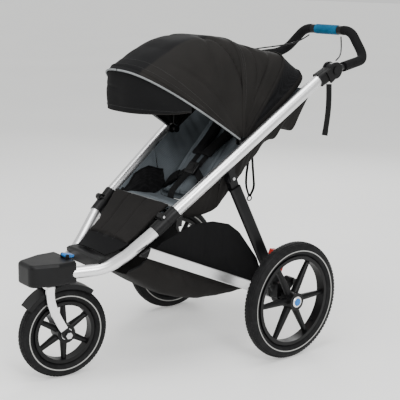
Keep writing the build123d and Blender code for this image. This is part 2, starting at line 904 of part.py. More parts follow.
back_plane = Plane(
    origin=at(0, bight_depth, bight_height),
    x_dir=(1, 0, 0),
    z_dir=(0, cos(radians(recline_angle)), sin(radians(recline_angle))),
)
back_half = seat_half_width - bucket_wall - 5
with BuildPart() as seat_back:
    with BuildSketch(back_plane.offset(16)):
        with Locations((0, back_thickness / 2)):
            RectangleRounded(2 * back_half, back_thickness, 8)
    extrude(amount=back_length - 16)
keep(seat_back, "seat_back")

strap_width = 38
strap_thickness = 6
with BuildPart() as harness:
    for side, word in sides:
        with BuildSketch(back_plane.offset(60)):
            with Locations((side * 52, -strap_thickness / 2 - gap)):
                RectangleRounded(strap_width, strap_thickness, 2.5)
        extrude(amount=300)
keep(harness, "harness_straps")

# ---- handlebar ----
hub_centre = at(266, 211, 955)
hub_cheek = 24
cheek_thickness = 6.6
disc_half = 13
hub_pin_radius = 8
bar_radius = 11
handle_route = [
    at(266, 236, 958),
    at(205, handle_depth - 20, 980),
    at(115, handle_depth, handle_height),
]
handle_bends = [70, 70]
grip_half = 55


def handle_path(side, inner_x):
    points = [mirrored(point, side) for point in handle_route]
    points.append(at(side * inner_x, handle_depth, handle_height))
    return points


with BuildPart() as handle_hubs:
    for side, word in sides:
        start = mirrored(hub_foot, side)
        far = mirrored(hub_centre, side)
        with BuildSketch(end_plane(start, far)):
            RectangleRounded(44, 46, 14)
        extrude(amount=(far - start).length - 8)
        for offset_x in (-disc_half - cheek_thickness - gap, disc_half + gap):
            with BuildSketch(side_plane(far.X + offset_x)):
                with Locations((far.Y - rear_axle_y, far.Z)):
                    Circle(hub_cheek + 4)
                with BuildLine():
                    Line(
                        (far.Y - rear_axle_y, far.Z),
                        (start.Y - rear_axle_y + 22, start.Z + 10),
                    )
                trace(line_width=44)
            extrude(amount=cheek_thickness)
        with BuildSketch(side_plane(far.X - disc_half - gap)):
            with Locations((far.Y - rear_axle_y, far.Z)):
                Circle(hub_cheek + 6)
        extrude(amount=2 * disc_half + 2 * gap, mode=Mode.SUBTRACT)
        with BuildSketch(side_plane(far.X - disc_half - 4)):
            with Locations((far.Y - rear_axle_y, far.Z)):
                Circle(hub_pin_radius)
        extrude(amount=2 * disc_half + 8)
        # the outer cheek has a well for the adjuster button
        with BuildSketch(Plane.YZ.offset(side * (hub_centre.X + disc_half + gap + 2))):
            with Locations((far.Y, far.Z)):
                Circle(15)
        extrude(amount=side * 10, mode=Mode.SUBTRACT)
        add(upper_tube_solid(side, 0), mode=Mode.SUBTRACT)
keep(handle_hubs, "handle_hubs")

for side, word in sides:
    with BuildPart() as hub_button:
        with BuildSketch(Plane.YZ.offset(side * (hub_centre.X + disc_half + gap + 5.4))):
            with Locations((hub_centre.Y, hub_centre.Z)):
                Circle(14.5)
        extrude(amount=side * 5)
    keep(hub_button, f"hub_button_{word}")

with BuildPart() as handlebar_tube:
    points = handle_path(1, 0)[:-1] + handle_path(-1, 0)[:-1][::-1]
    with BuildLine() as path:
        FilletPolyline(*points, radius=[handle_bends[0], handle_bends[1], handle_bends[1], handle_bends[0]])
    with BuildSketch(end_plane(points[0], points[1])):
        Circle(bar_radius)
    sweep(path=path.wire())
    for side, word in sides:
        with BuildSketch(side_plane(side * hub_centre.X - disc_half)):
            with Locations((hub_centre.Y - rear_axle_y, hub_centre.Z)):
                Circle(hub_cheek)
            with BuildLine():
                Line(
                    (hub_centre.Y - rear_axle_y, hub_centre.Z),
                    (hub_centre.Y - rear_axle_y + 34, hub_centre.Z + 4),
                )
            trace(line_width=30)
        extrude(amount=2 * disc_half)
        with BuildSketch(side_plane(side * hub_centre.X - disc_half - 1)):
            with Locations((hub_centre.Y - rear_axle_y, hub_centre.Z)):
                Circle(hub_pin_radius + running_clearance)
        extrude(amount=2 * disc_half + 2, mode=Mode.SUBTRACT)
keep(handlebar_tube, "handlebar_tube")

with BuildPart() as handle_foam:
    for side, word in sides:
        points = handle_path(side, grip_half + 22)
        first = between(points[0], points[1], 0.2)
        with BuildLine() as path:
            FilletPolyline(first, *points[1:], radius=handle_bends)
        with BuildSketch(end_plane(first, points[1])):
            Circle(grip_radius)
            Circle(bar_radius, mode=Mode.SUBTRACT)
        sweep(path=path.wire())
keep(handle_foam, "handle_foam")

with BuildPart() as twist_grip:
    with BuildSketch(Plane.YZ.offset(-grip_half)):
        with Locations((rear_axle_y + handle_depth, handle_height)):
            Circle(grip_radius + 1)
            Circle(bar_radius + running_clearance, mode=Mode.SUBTRACT)
    extrude(amount=2 * grip_half)
    fillet(twist_grip.faces().filter_by(Axis.X).edges().filter_by(GeomType.CIRCLE).group_by(SortBy.RADIUS)[-1], 1.5)
keep(twist_grip, "twist_grip")

# ---- release cables: free between the grip collar and the hub ----
cable_radius = 2.5
cable_route = [
    (80, 452, 1051),
    (96, 437, 1034),
    (122, 410, 1018),
    (156, 372, 1007),
    (192, 330, 999),
    (224, 288, 991),
    (246, 250, 985),
]


def corner_radii(points):
    """Each arc is as large as its two runs allow."""
    radii = []
    for before, here, after in zip(points, points[1:], points[2:]):
        turn = radians((here - before).get_angle(after - here))
        radii.append(0.45 * min((here - before).length, (after - here).length) / tan(turn / 2))
    return radii


with BuildPart() as release_cables:
    for side, word in sides:
        points = [at(side * x, depth, height) for x, depth, height in cable_route]
        bends = corner_radii(points)
        with BuildLine() as path:
            FilletPolyline(*points, radius=bends)
        with BuildSketch(end_plane(points[0], points[1])):
            Circle(cable_radius)
        sweep(path=path.wire())
print("release cable bend radii", [round(radius) for radius in bends])
keep(release_cables, "release_cables")

# ---- wrist strap: a limp flat webbing that hangs from the left hub ----
strap_route = [(276, 188, 910), (281, 184, 866), (284, 181, 820), (288, 170, 768), (290, 160, 716), (289, 151, 668)]
web_width = 26
web_thickness = 3
with BuildPart() as wrist_strap:
    points = [at(x, depth, height) for x, depth, height in strap_route]
    strap_bends = corner_radii(points)
    with BuildLine() as path:
        FilletPolyline(*points, radius=strap_bends)
    with BuildSketch(Plane(origin=points[0], x_dir=(0, 1, 0), z_dir=(points[1] - points[0]))):
        Rectangle(web_width, web_thickness)
    sweep(path=path.wire())
print("wrist strap bend radii", [round(radius) for radius in strap_bends])
keep(wrist_strap, "wrist_strap")

# ---- canopy: arched sheets and bows about the hinge line ----
hinge = at(0, -113, 726)
bow_radius = 4
bow_end_x = 184
mount_pin_radius = 5
front_angle = 147
middle_angle = 92
rear_angle = 53
canopy_steps = 14
front_reach = 437
middle_reach = 338


def arch_points(angle, half_width, reach, bulge, low_share):
    """Points of a boxy arch in the plane through the hinge line at this angle."""
    out = Vector(0, cos(radians(angle)), sin(radians(angle)))
    points = []
    for step in range(canopy_steps + 1):
        turn = radians(180 * step / canopy_steps)
        across = abs(cos(turn)) ** (2 / bulge) * half_width
        side = 1 if cos(turn) > 0 else -1
        up = max(sin(turn), 0) ** (2 / bulge) * reach
        points.append(hinge + Vector(side * across, 0, 0) + out * max(up, low_share * reach))
    return points


def canopy_band(sections):
    """Closed sheet lofted through arches given as (angle, half width, reach, bulge)."""
    with BuildPart() as band:
        for angle, half_width, reach, bulge in sections:
            outer = arch_points(angle, half_width, reach, bulge, 0.12)
            inner = arch_points(angle, half_width - sheet, reach - sheet, bulge, 0.12)
            out = Vector(0, cos(radians(angle)), sin(radians(angle)))
            arch_plane = Plane(origin=hinge, x_dir=(1, 0, 0), z_dir=Vector(1, 0, 0).cross(out))
            with BuildSketch(arch_plane):
                with BuildLine():
                    ring = [arch_plane.to_local_coords(point) for point in outer + inner[::-1]]
                    Polyline(*[(point.X, point.Y) for point in ring], close=True)
                make_face()
        loft(ruled=True)
    return band.part


bow_gap = bow_radius + gap
front_half = bow_end_x + bow_gap + sheet
with BuildPart() as canopy_front_sheet:
    add(canopy_band([
        (middle_angle + 1, front_half, 345, 4.5),
        ((middle_angle + front_angle) / 2, front_half, 374, 3.6),
        (front_angle, front_half, front_reach, 2.6),
    ]))
keep(canopy_front_sheet, "canopy_front_sheet")

with BuildPart() as canopy_middle_sheet:
    add(canopy_band([
        (rear_angle, front_half - 1 - sheet, middle_reach, 4.5),
        (middle_angle - 1, front_half - 1 - sheet, middle_reach, 4.5),
    ]))
keep(canopy_middle_sheet, "canopy_middle_sheet")

with BuildPart() as canopy_rear_sheet:
    add(canopy_band([
        (rear_angle - 14, front_half - 2 - 2 * sheet, 322, 4.5),
        (rear_angle - 1, front_half - 2 - 2 * sheet, middle_reach - 6, 4.5),
    ]))
keep(canopy_rear_sheet, "canopy_rear_sheet")


def bow(angle, end_x, reach, bulge, bore):
    """Round arch with a flat eye at each end, on the hinge line."""
    out = Vector(0, cos(radians(angle)), sin(radians(angle)))
    points = arch_points(angle, end_x, reach, bulge, 0)
    points[0] = hinge + Vector(end_x, 0, 0) + out * 8
    points[-1] = hinge + Vector(-end_x, 0, 0) + out * 8
    with BuildPart() as piece:
        with BuildLine() as path:
            FilletPolyline(*points, radius=corner_radii(points))
        with BuildSketch(Plane(origin=points[0], z_dir=points[1] - points[0])):
            Circle(bow_radius)
        sweep(path=path.wire())
        for side, word in sides:
            with BuildSketch(side_plane(side * end_x - 2.2)):
                with Locations((hinge.Y - rear_axle_y, hinge.Z)):
                    Circle(12)
                    if bore:
                        Circle(mount_pin_radius + running_clearance, mode=Mode.SUBTRACT)
            extrude(amount=4.4)
            if bore:
                with BuildSketch(side_plane(side * end_x - 8)):
                    with Locations((hinge.Y - rear_axle_y, hinge.Z)):
                        Circle(mount_pin_radius + running_clearance)
                extrude(amount=16, mode=Mode.SUBTRACT)
    return piece.part


with BuildPart() as front_bow:
    add(bow(front_angle - 1, bow_end_x, front_reach - 3 * sheet - bow_gap, 2.5, True))
keep(front_bow, "canopy_front_bow")

with BuildPart() as middle_bow:
    add(bow(middle_angle - 2, bow_end_x - 9, middle_reach - 2 * sheet - bow_gap, 4.2, True))
keep(middle_bow, "canopy_middle_bow")

with BuildPart() as rear_bow:
    add(bow(rear_angle, bow_end_x - 18, middle_reach - 3 * sheet - 2 * bow_gap, 4.2, False))
    for side, word in sides:
        with BuildSketch(side_plane(side * (bow_end_x - 14))):
            with Locations((hinge.Y - rear_axle_y, hinge.Z)):
                Circle(mount_pin_radius)
        extrude(amount=side * 20)
        with BuildSketch(side_plane(side * (bow_end_x + 5))):
            with Locations((hinge.Y - rear_axle_y, hinge.Z)):
                Circle(16)
        extrude(amount=side * 30)
        add(upper_tube_solid(side, 0), mode=Mode.SUBTRACT)
keep(rear_bow, "canopy_rear_bow")

# ---- visor: a crescent of stiffened cloth that hangs below the front bow ----
visor_bottom = 832
visor_sheet = 3
visor_half = 172
visor_steps = 16


def bow_plan(x, shrink):
    """Point of the front bow's outline seen from above."""
    reach = (front_reach - shrink) * (1 - (abs(x) / front_half) ** 2.6) ** (1 / 2.6)
    return (x * (1 - shrink / front_half), hinge.Y + reach * cos(radians(front_angle)))


with BuildPart() as visor:
    with BuildSketch(Plane.XY.offset(visor_bottom)):
        across = [visor_half * (2 * step / visor_steps - 1) for step in range(visor_steps + 1)]
        outline = [bow_plan(x, 0) for x in across] + [bow_plan(x, visor_sheet) for x in across[::-1]]
        with BuildLine():
            Polyline(*outline, close=True)
        make_face()
    extrude(amount=160)
    visor_top = radians(front_angle + 0.5)
    under = Plane(origin=hinge, z_dir=(0, sin(visor_top), -cos(visor_top)))
    split(bisect_by=under, keep=Keep.BOTTOM)
keep(visor, "visor")
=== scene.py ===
import math
import bpy
import numpy as np
from mathutils import Matrix, Vector, noise


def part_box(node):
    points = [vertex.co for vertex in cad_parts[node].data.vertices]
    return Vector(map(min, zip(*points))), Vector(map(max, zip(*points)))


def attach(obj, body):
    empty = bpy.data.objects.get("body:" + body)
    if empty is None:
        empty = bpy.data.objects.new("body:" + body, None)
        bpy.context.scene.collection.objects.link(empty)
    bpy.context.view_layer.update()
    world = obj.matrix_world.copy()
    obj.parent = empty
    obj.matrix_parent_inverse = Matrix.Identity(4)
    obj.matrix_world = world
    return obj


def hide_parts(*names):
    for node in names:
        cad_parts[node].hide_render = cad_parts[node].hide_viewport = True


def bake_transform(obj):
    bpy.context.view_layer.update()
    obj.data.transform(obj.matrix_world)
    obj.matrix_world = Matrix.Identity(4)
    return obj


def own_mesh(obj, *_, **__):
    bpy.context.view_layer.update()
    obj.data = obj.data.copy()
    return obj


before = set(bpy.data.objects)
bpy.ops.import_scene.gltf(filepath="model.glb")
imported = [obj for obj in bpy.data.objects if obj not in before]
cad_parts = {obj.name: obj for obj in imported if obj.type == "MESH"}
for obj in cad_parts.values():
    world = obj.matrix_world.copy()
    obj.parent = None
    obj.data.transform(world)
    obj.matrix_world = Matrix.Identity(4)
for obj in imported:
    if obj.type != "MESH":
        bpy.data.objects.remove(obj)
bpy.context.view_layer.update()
print("frame loaded, pieces:", len(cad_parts))

axleLow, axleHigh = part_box("rear_axle_tube")
axleY = (axleLow.y + axleHigh.y) / 2


def at(x, depth, height):
    # depth is counted from the rear axle, height from the floor, all in millimetres
    return Vector((x / 1000, axleY + depth / 1000, height / 1000))


def mix(a, b, t):
    return a + (b - a) * t


def ease(t):
    t = max(0.0, min(1.0, t))
    return t * t * (3 - 2 * t)


def linked(name, data):
    piece = bpy.data.objects.new(name, data)
    bpy.context.scene.collection.objects.link(piece)
    return piece


# camera: an aim point, a direction and a lens
cameraSet = {"aim": (0, 0.0442, 0.5006), "azimuth": 50.301, "elevation": 12.802,
             "roll": 1.114, "distance": 3.2856, "lens": 85.44}


def makeCamera(s):
    az, el, roll = (math.radians(s[k]) for k in ("azimuth", "elevation", "roll"))
    back = Vector((math.sin(az) * math.cos(el), -math.cos(az) * math.cos(el), math.sin(el)))
    right = Vector((math.cos(az), math.sin(az), 0))
    up = back.cross(right)
    turned = right * math.cos(roll) + up * math.sin(roll)
    raised = up * math.cos(roll) - right * math.sin(roll)
    data = bpy.data.cameras.new("camera")
    data.lens = s["lens"]
    data.clip_end = 100
    camera = linked("camera", data)
    axes = Matrix((turned, raised, back)).transposed().to_4x4()
    camera.matrix_world = Matrix.Translation(Vector(s["aim"]) + back * s["distance"]) @ axes
    bpy.context.scene.camera = camera


makeCamera(cameraSet)


class Wire:
    # one socket of a material's tree, so that node maths reads as plain maths
    def __init__(self, tree, socket=None):
        self.tree = tree
        self.socket = socket

    def feed(self, target, value):
        if isinstance(value, Wire):
            self.tree.links.new(value.socket, target)
        else:
            target.default_value = value

    def add(self, kind, settings=None, values=None, out=0):
        node = self.tree.nodes.new(kind)
        for key, value in (settings or {}).items():
            if key == "stops":
                ramp = node.color_ramp
                while len(ramp.elements) < len(value):
                    ramp.elements.new(0.5)
                for stop, (along, colour) in zip(ramp.elements, value):
                    stop.position = along
                    stop.color = colour
            else:
                setattr(node, key, value)
        for key, value in (values or {}).items():
            self.feed(node.inputs[key], value)
        return Wire(self.tree, node.outputs[out])

    def maths(self, operation, first, second=0.0, third=0.0):
        return self.add("ShaderNodeMath", {"operation": operation}, {0: first, 1: second, 2: third})

    def __add__(self, other):
        return self.maths("ADD", self, other)

    __radd__ = __add__

    def __mul__(self, other):
        return self.maths("MULTIPLY", self, other)

    __rmul__ = __mul__

    def __sub__(self, other):
        return self.maths("SUBTRACT", self, other)

    def __rsub__(self, other):
        return self.maths("SUBTRACT", other, self)

    def __truediv__(self, other):
        return self.maths("DIVIDE", self, other)

    def __pow__(self, other):
        return self.maths("POWER", self, other)

    def part(self, index):
        # one coordinate: 0 for x, 1 for y, 2 for z
        return self.add("ShaderNodeSeparateXYZ", None, {0: self}, index)

    def between(self, low, high):
        # 0 at low, 1 at high, eased
        return self.add("ShaderNodeMapRange", {"interpolation_type": "SMOOTHSTEP"},
                        {"Value": self, "From Min": low, "From Max": high})

    def blend(self, a, b):
        # colour a where this is 0, b where it is 1
        return self.add("ShaderNodeMix", {"data_type": "RGBA"}, {0: self, 6: a, 7: b}, 2)


def newMaterial(name, metallic=0.0, **fixed):
    material = bpy.data.materials.new(name)
    material.use_nodes = True
    tree = material.node_tree
    shader = tree.nodes["Principled BSDF"]
    shader.inputs["Metallic"].default_value = metallic
    for key, value in fixed.items():
        shader.inputs[key.replace("_", " ")].default_value = value
    start = Wire(tree)
    spot = start.add("ShaderNodeTexCoord", out=3)
    return material, start, spot, shader


def noiseOf(start, spot, scale, detail=2.0, rough=0.5):
    return start.add("ShaderNodeTexNoise", None,
                     {"Vector": spot, "Scale": scale, "Detail": detail, "Roughness": rough})


def finishMaterial(start, shader, colour, roughness, height=None, depth=0.0004, strength=0.4):
    start.feed(shader.inputs["Base Color"], colour)
    start.feed(shader.inputs["Roughness"], roughness)
    if height is not None:
        bump = start.add("ShaderNodeBump", None,
                         {"Strength": strength, "Distance": depth, "Height": height})
        start.feed(shader.inputs["Normal"], bump)


def rgba(colour, factor=1.0):
    return (*[c * factor for c in colour], 1.0)


def clothMaterial(name, colour, scale=620.0, wrinkle=14.0, rough=0.82, strength=0.35, fade=0.25):
    # plain weave: two crossed waves, with slow changes of tone
    material, start, spot, shader = newMaterial(name, Specular_IOR_Level=0.12)
    weft, warp = (start.add("ShaderNodeTexWave", {"bands_direction": way},
                            {"Vector": spot, "Scale": scale / gap}, 1)
                  for way, gap in (("Z", 6), ("DIAGONAL", 7)))
    slow = noiseOf(start, spot, wrinkle, 4.0)
    fleck = noiseOf(start, spot, scale, 1.0)
    tone = slow.between(0.3, 0.7)
    base = tone.blend(rgba(colour, 1 - fade), rgba(colour, 1 + fade))
    # darker where the weave's bump is low: painted shade in the hollows between threads, with random flecks
    hollowShade = (fleck * 0.5 + weft * 0.25 + warp * 0.25).between(0.25, 0.8).blend(rgba(colour, 0.7), base)
    finishMaterial(start, shader, hollowShade, rough + (tone - 0.5) * 0.08,
                   weft * 0.5 + warp * 0.5 + fleck * 0.4, 0.0003, strength)
    return material


def plasticMaterial(name, colour, rough=0.45, grain=900.0, strength=0.12, coat=0.0):
    material, start, spot, shader = newMaterial(name, Coat_Weight=coat, Specular_IOR_Level=0.2)
    fine = noiseOf(start, spot, grain, 2.0)
    slow = noiseOf(start, spot, 22.0, 3.0)
    base = slow.between(0.3, 0.7).blend(rgba(colour, 0.82), rgba(colour, 1.2))
    finishMaterial(start, shader, base, rough + (slow - 0.5) * 0.16, fine, 0.0002, strength)
    return material


def metalMaterial(name, colour, rough=0.3, stretch=(0.15, 1.0, 1.0), strength=0.05, metallic=1.0):
    # drawn metal: noise pulled out along the part, and faint handling marks
    material, start, spot, shader = newMaterial(name, metallic)
    pulled = start.add("ShaderNodeMapping", None, {"Vector": spot, "Scale": stretch})
    lines = noiseOf(start, pulled, 420.0, 3.0)
    slow = noiseOf(start, spot, 9.0, 3.0)
    base = (lines * 0.6 + slow * 0.4).between(0.3, 0.7).blend(rgba(colour, 0.9), rgba(colour, 1.06))
    finishMaterial(start, shader, base, rough + (slow - 0.5) * 0.12 + (lines - 0.5) * 0.08,
                   lines, 0.0001, strength)
    return material


def tyreMaterial(name, centre, turn, ringRadius, ringWidth):
    # black rubber with a thin pale ring moulded into the side wall
    material, start, spot, shader = newMaterial(name, Specular_IOR_Level=0.14)
    home = start.add("ShaderNodeVectorMath", {"operation": "SUBTRACT"}, {0: spot, 1: tuple(centre)})
    flat = start.add("ShaderNodeVectorRotate", {"rotation_type": "Z_AXIS"},
                     {"Vector": home, "Angle": -turn})
    y, z = flat.part(1), flat.part(2)
    radius = (y * y + z * z) ** 0.5
    off = start.maths("ABSOLUTE", radius - ringRadius)
    ring = 1 - off.between(ringWidth * 0.4, ringWidth * 0.6)
    dust = noiseOf(start, spot, 60.0, 4.0)
    fine = noiseOf(start, spot, 1200.0, 2.0)
    rubber = dust.between(0.3, 0.75).blend((0.0045, 0.0045, 0.005, 1), (0.010, 0.010, 0.0105, 1))
    ribs = start.maths("SINE", radius * 1600.0)
    finishMaterial(start, shader, ring.blend(rubber, (0.33, 0.33, 0.32, 1)), 0.62 - ring * 0.2,
                   fine * 0.5 + ribs * 0.3 + ring * 0.8, 0.0004, 0.35)
    return material


def foamMaterial(name, colour, rough=0.85):
    material, start, spot, shader = newMaterial(name, Specular_IOR_Level=0.12)
    cells = start.add("ShaderNodeTexVoronoi", None, {"Vector": spot, "Scale": 900.0})
    slow = noiseOf(start, spot, 26.0, 3.0)
    base = slow.between(0.3, 0.7).blend(rgba(colour, 0.8), rgba(colour, 1.2))
    finishMaterial(start, shader, base, rough + (slow - 0.5) * 0.1, cells, 0.0005, 0.4)
    return material


def meshMaterial(name, colour, pitch=0.0032):
    # open net: dark threads, with the holes between them painted darker as painted shade seen through the
    # openings
    material, start, spot, shader = newMaterial(name, Specular_IOR_Level=0.12)
    cells = start.add("ShaderNodeTexVoronoi", {"distance": "CHEBYCHEV"},
                      {"Vector": spot, "Scale": 1 / pitch, "Randomness": 0.15})
    hole = 1 - cells.between(0.26, 0.4)
    finishMaterial(start, shader, hole.blend(rgba(colour), rgba(colour, 0.15)), 0.7 + hole * 0.2,
                   1 - hole, 0.0006, 0.6)
    return material


print("materials")
charcoal = clothMaterial("charcoalCanvas", (0.0135, 0.0125, 0.012))
darkCloth = clothMaterial("blackCanvas", (0.0055, 0.0055, 0.006))
greyCloth = clothMaterial("slateLining", (0.135, 0.155, 0.172), rough=0.75)
pipeCloth = clothMaterial("palePiping", (0.21, 0.22, 0.225), scale=900.0, rough=0.6)
webbing = clothMaterial("blackWebbing", (0.007, 0.007, 0.0075), scale=800.0, rough=0.7, strength=0.6)
netCloth = meshMaterial("blackNet", (0.010, 0.010, 0.011))
anodised = metalMaterial("satinAnodised", (0.83, 0.83, 0.84), 0.34)
bareSteel = metalMaterial("brightSteel", (0.62, 0.62, 0.63), 0.3)
blackCoat = plasticMaterial("blackPowderCoat", (0.004, 0.004, 0.0045), 0.34, 600.0, 0.1, 0.05)
blackShell = plasticMaterial("blackMoulding", (0.0038, 0.0038, 0.0042), 0.42)
blueShell = plasticMaterial("blueMoulding", (0.008, 0.13, 0.40), 0.32, coat=0.3)
redShell = plasticMaterial("redMoulding", (0.5, 0.03, 0.02), 0.35, coat=0.3)
barFoam = foamMaterial("barFoam", (0.005, 0.005, 0.0055))
blueFoam = foamMaterial("blueGripFoam", (0.004, 0.085, 0.17), 0.7)
cableSkin = plasticMaterial("cableSleeve", (0.004, 0.004, 0.0045), 0.5)

nodeFinish = {
    anodised: ["lower_tube_left", "lower_tube_right", "upper_tube_left", "upper_tube_right", "lower_rails",
               "fork", "rear_hub_ring_left", "rear_hub_ring_right"],
    blackCoat: ["rear_leg_left", "rear_leg_right", "rear_axle_tube", "leg_brackets", "seat_cross_tube",
                "canopy_rear_bow", "canopy_front_bow", "canopy_middle_bow", "brake_shaft", "handlebar_tube"],
    bareSteel: ["fold_pins", "leg_pins", "stub_axles", "front_axle", "swivel_bearings", "front_bearings",
                "rear_bearing_left", "rear_bearing_right"],
    blackShell: ["nose_housing", "lower_knuckles", "upper_knuckles", "footrest", "fork_dropouts",
                 "front_fender", "front_wheel_rim", "rear_wheel_rim_left", "rear_wheel_rim_right",
                 "handle_hubs", "axle_blocks", "rail_connectors", "hub_button_left", "hub_button_right"],
    blueShell: ["swivel_lock_lever", "release_button_left", "release_button_right"],
    barFoam: ["handle_foam"], blueFoam: ["twist_grip"], redShell: ["brake_pedal"],
    charcoal: ["leg_panel", "canopy_front_sheet", "canopy_middle_sheet", "visor", "basket"],
    darkCloth: ["canopy_rear_sheet", "seat_base"], greyCloth: ["seat_back"],
    webbing: ["harness_straps", "wrist_strap"], cableSkin: ["release_cables"],
}
for finish, names in nodeFinish.items():
    for name in names:
        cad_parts[name].data.materials.clear()
        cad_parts[name].data.materials.append(finish)

wheelSet = {"rearRing": 0.173, "frontRing": 0.1215, "ringWidth": 0.0035,
            "frontTurn": math.radians(-7.2), "rearRadius": 0.200, "frontRadius": 0.148, "tyreHalf": 0.023}


def centreOf(name):
    low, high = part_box(name)
    return (low + high) / 2


def tyreFinish(node, ring, turn):
    finish = tyreMaterial("tyreRubber_" + node, centreOf(node), turn, ring, wheelSet["ringWidth"])
    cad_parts[node].data.materials.clear()
    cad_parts[node].data.materials.append(finish)


tyreFinish("rear_tyre_left", wheelSet["rearRing"], 0.0)
tyreFinish("rear_tyre_right", wheelSet["rearRing"], 0.0)
tyreFinish("front_tyre", wheelSet["frontRing"], wheelSet["frontTurn"])


def newPiece(name, points, faces, materials, indices=None, sharp=50.0):
    data = bpy.data.meshes.new(name)
    data.from_pydata([tuple(p) for p in points], [], [tuple(int(i) for i in f) for f in faces])
    for material in materials:
        data.materials.append(material)
    data.polygons.foreach_set("use_smooth", [True] * len(data.polygons))
    if indices is not None:
        data.polygons.foreach_set("material_index", [int(i) for i in indices])
    data.update()
    data.set_sharp_from_angle(angle=math.radians(sharp))
    return linked(name, data)


def place(piece, body, replaces=()):
    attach(piece, body)
    if replaces:
        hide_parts(*replaces)
    return piece


def unit(vectors):
    return vectors / np.maximum(np.linalg.norm(vectors, axis=-1, keepdims=True), 1e-9)


def shellOf(name, rows, thickness, outer, inner=None, tone=None):
    # closed thin sheet on a grid of points: the outer face looks along du x dv
    grid = np.array([[tuple(p) for p in row] for row in rows], float)
    m, n = grid.shape[:2]
    normal = unit(np.cross(np.gradient(grid, axis=0), np.gradient(grid, axis=1)))
    points = np.concatenate([(grid + normal * thickness / 2).reshape(-1, 3),
                             (grid - normal * thickness / 2).reshape(-1, 3)])
    index = np.arange(m * n).reshape(m, n)
    a, b, c, d = index[:-1, :-1], index[1:, :-1], index[1:, 1:], index[:-1, 1:]
    top = np.stack([a, b, c, d], -1).reshape(-1, 4)
    low = top[:, ::-1] + m * n
    rim = np.concatenate([index[0, :], index[1:, -1], index[-1, -2::-1], index[-2:0:-1, 0]])
    after = np.roll(rim, -1)
    side = np.stack([rim, after, after + m * n, rim + m * n], -1)
    faces = np.concatenate([top, low, side])
    kinds = np.zeros(len(faces), int)
    if tone is not None:
        kinds[:len(top)] = tone
        kinds[len(top):len(top) * 2] = tone
    if inner is not None:
        kinds[len(top):len(top) * 2] = len(outer) if isinstance(outer, list) else 1
    finishes = (outer if isinstance(outer, list) else [outer]) + ([inner] if inner else [])
    return newPiece(name, points, faces, finishes, kinds)


def runOf(points, count, corner=0.0, steps=6):
    # a line through points with rounded corners, sampled evenly
    line = [Vector(points[0])]
    for before, here, after in zip(points, points[1:], points[2:]):
        here = Vector(here)
        reach = min(corner, (Vector(before) - here).length / 2, (Vector(after) - here).length / 2)
        start = here + (Vector(before) - here).normalized() * reach
        end = here + (Vector(after) - here).normalized() * reach
        for i in range(steps + 1):
            t = i / steps
            line.append(start * (1 - t) ** 2 + here * 2 * t * (1 - t) + end * t * t)
    line.append(Vector(points[-1]))
    xyz = np.array([tuple(p) for p in line])
    lengths = np.concatenate([[0], np.cumsum(np.linalg.norm(np.diff(xyz, axis=0), axis=1))])
    wanted = np.linspace(0, lengths[-1], count)
    return [Vector([np.interp(w, lengths, xyz[:, k]) for k in range(3)]) for w in wanted]


def sweepOf(name, points, profile, material, wide=(1, 0, 0), closed=False):
    # a profile of (across, up) offsets carried along a line of points
    line = np.array([tuple(p) for p in points], float)
    along = unit(np.gradient(line, axis=0))
    wide = np.broadcast_to(np.array(wide, float), line.shape)
    across = unit(wide - along * np.sum(wide * along, axis=1, keepdims=True))
    up = np.cross(along, across)
    k, n = len(profile), len(line)
    ring = np.array(profile, float)
    solid = line[:, None] + across[:, None] * ring[None, :, :1] + up[:, None] * ring[None, :, 1:]
    points = list(solid.reshape(-1, 3))
    faces = []
    for i in range(n if closed else n - 1):
        for j in range(k):
            a, b = i * k + j, i * k + (j + 1) % k
            c, d = ((i + 1) % n) * k + (j + 1) % k, ((i + 1) % n) * k + j
            faces.append((a, b, c, d))
    if not closed:
        faces += [tuple(range(k))[::-1], tuple((n - 1) * k + j for j in range(k))]
    return newPiece(name, points, faces, [material])


def roundProfile(radius, sides=10):
    return [(radius * math.cos(2 * math.pi * i / sides), radius * math.sin(2 * math.pi * i / sides))
            for i in range(sides)]


def flatProfile(width, thickness, edge=0.35):
    w, t = width / 2, thickness / 2
    return [(w, -t * edge), (w, t * edge), (w - t, t), (0, t), (t - w, t),
            (-w, t * edge), (-w, -t * edge), (t - w, -t), (0, -t), (w - t, -t)]


def crease(value, centre, width):
    return math.exp(-((value - centre) / width) ** 2)


def cloudy(*numbers):
    return noise.noise(Vector(numbers))


def fold(piece, axis=(0, -0.588, 0.809), keep=0.12):
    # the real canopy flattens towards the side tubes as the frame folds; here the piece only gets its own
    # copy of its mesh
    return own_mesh(piece, "frame_fold", axis=axis, anchor=at(0, -113, 726), keep=keep)


# canopy: arches about a hinge line; each row is (angle, half width, reach, squareness)
canopySet = {"arches": [(34, 0.1830, 0.378, 6.5), (53, 0.1874, 0.349, 6.5), (62, 0.1885, 0.328, 6.2),
                        (73, 0.1895, 0.318, 5.8), (84, 0.1905, 0.321, 5.2), (94, 0.1914, 0.337, 4.6),
                        (106, 0.1924, 0.356, 4.1), (119, 0.1924, 0.374, 3.6), (128, 0.1924, 0.384, 3.3),
                        (138, 0.1924, 0.407, 2.9), (147, 0.1924, 0.437, 2.6)],
             "lowShare": 0.055, "cloth": 0.0018, "across": 150, "along": 44}
hinge = at(0, -113, 726)


def archAt(angle):
    rows = canopySet["arches"]
    return [float(np.interp(angle, [r[0] for r in rows], [r[k] for r in rows])) for k in (1, 2, 3)]


def canopyPoint(angle, share, lift=0.0):
    half, reach, square = archAt(angle)
    low = canopySet["lowShare"] ** (square / 2)
    start = math.asin(low)
    turn = mix(start, math.pi - start, share)
    c, s = math.cos(turn), math.sin(turn)
    across = math.copysign(abs(c) ** (2 / square), c) * (half + lift)
    up = s ** (2 / square) * (reach + lift)
    lean = math.radians(angle)
    return hinge + Vector((across, up * math.cos(lean), up * math.sin(lean)))


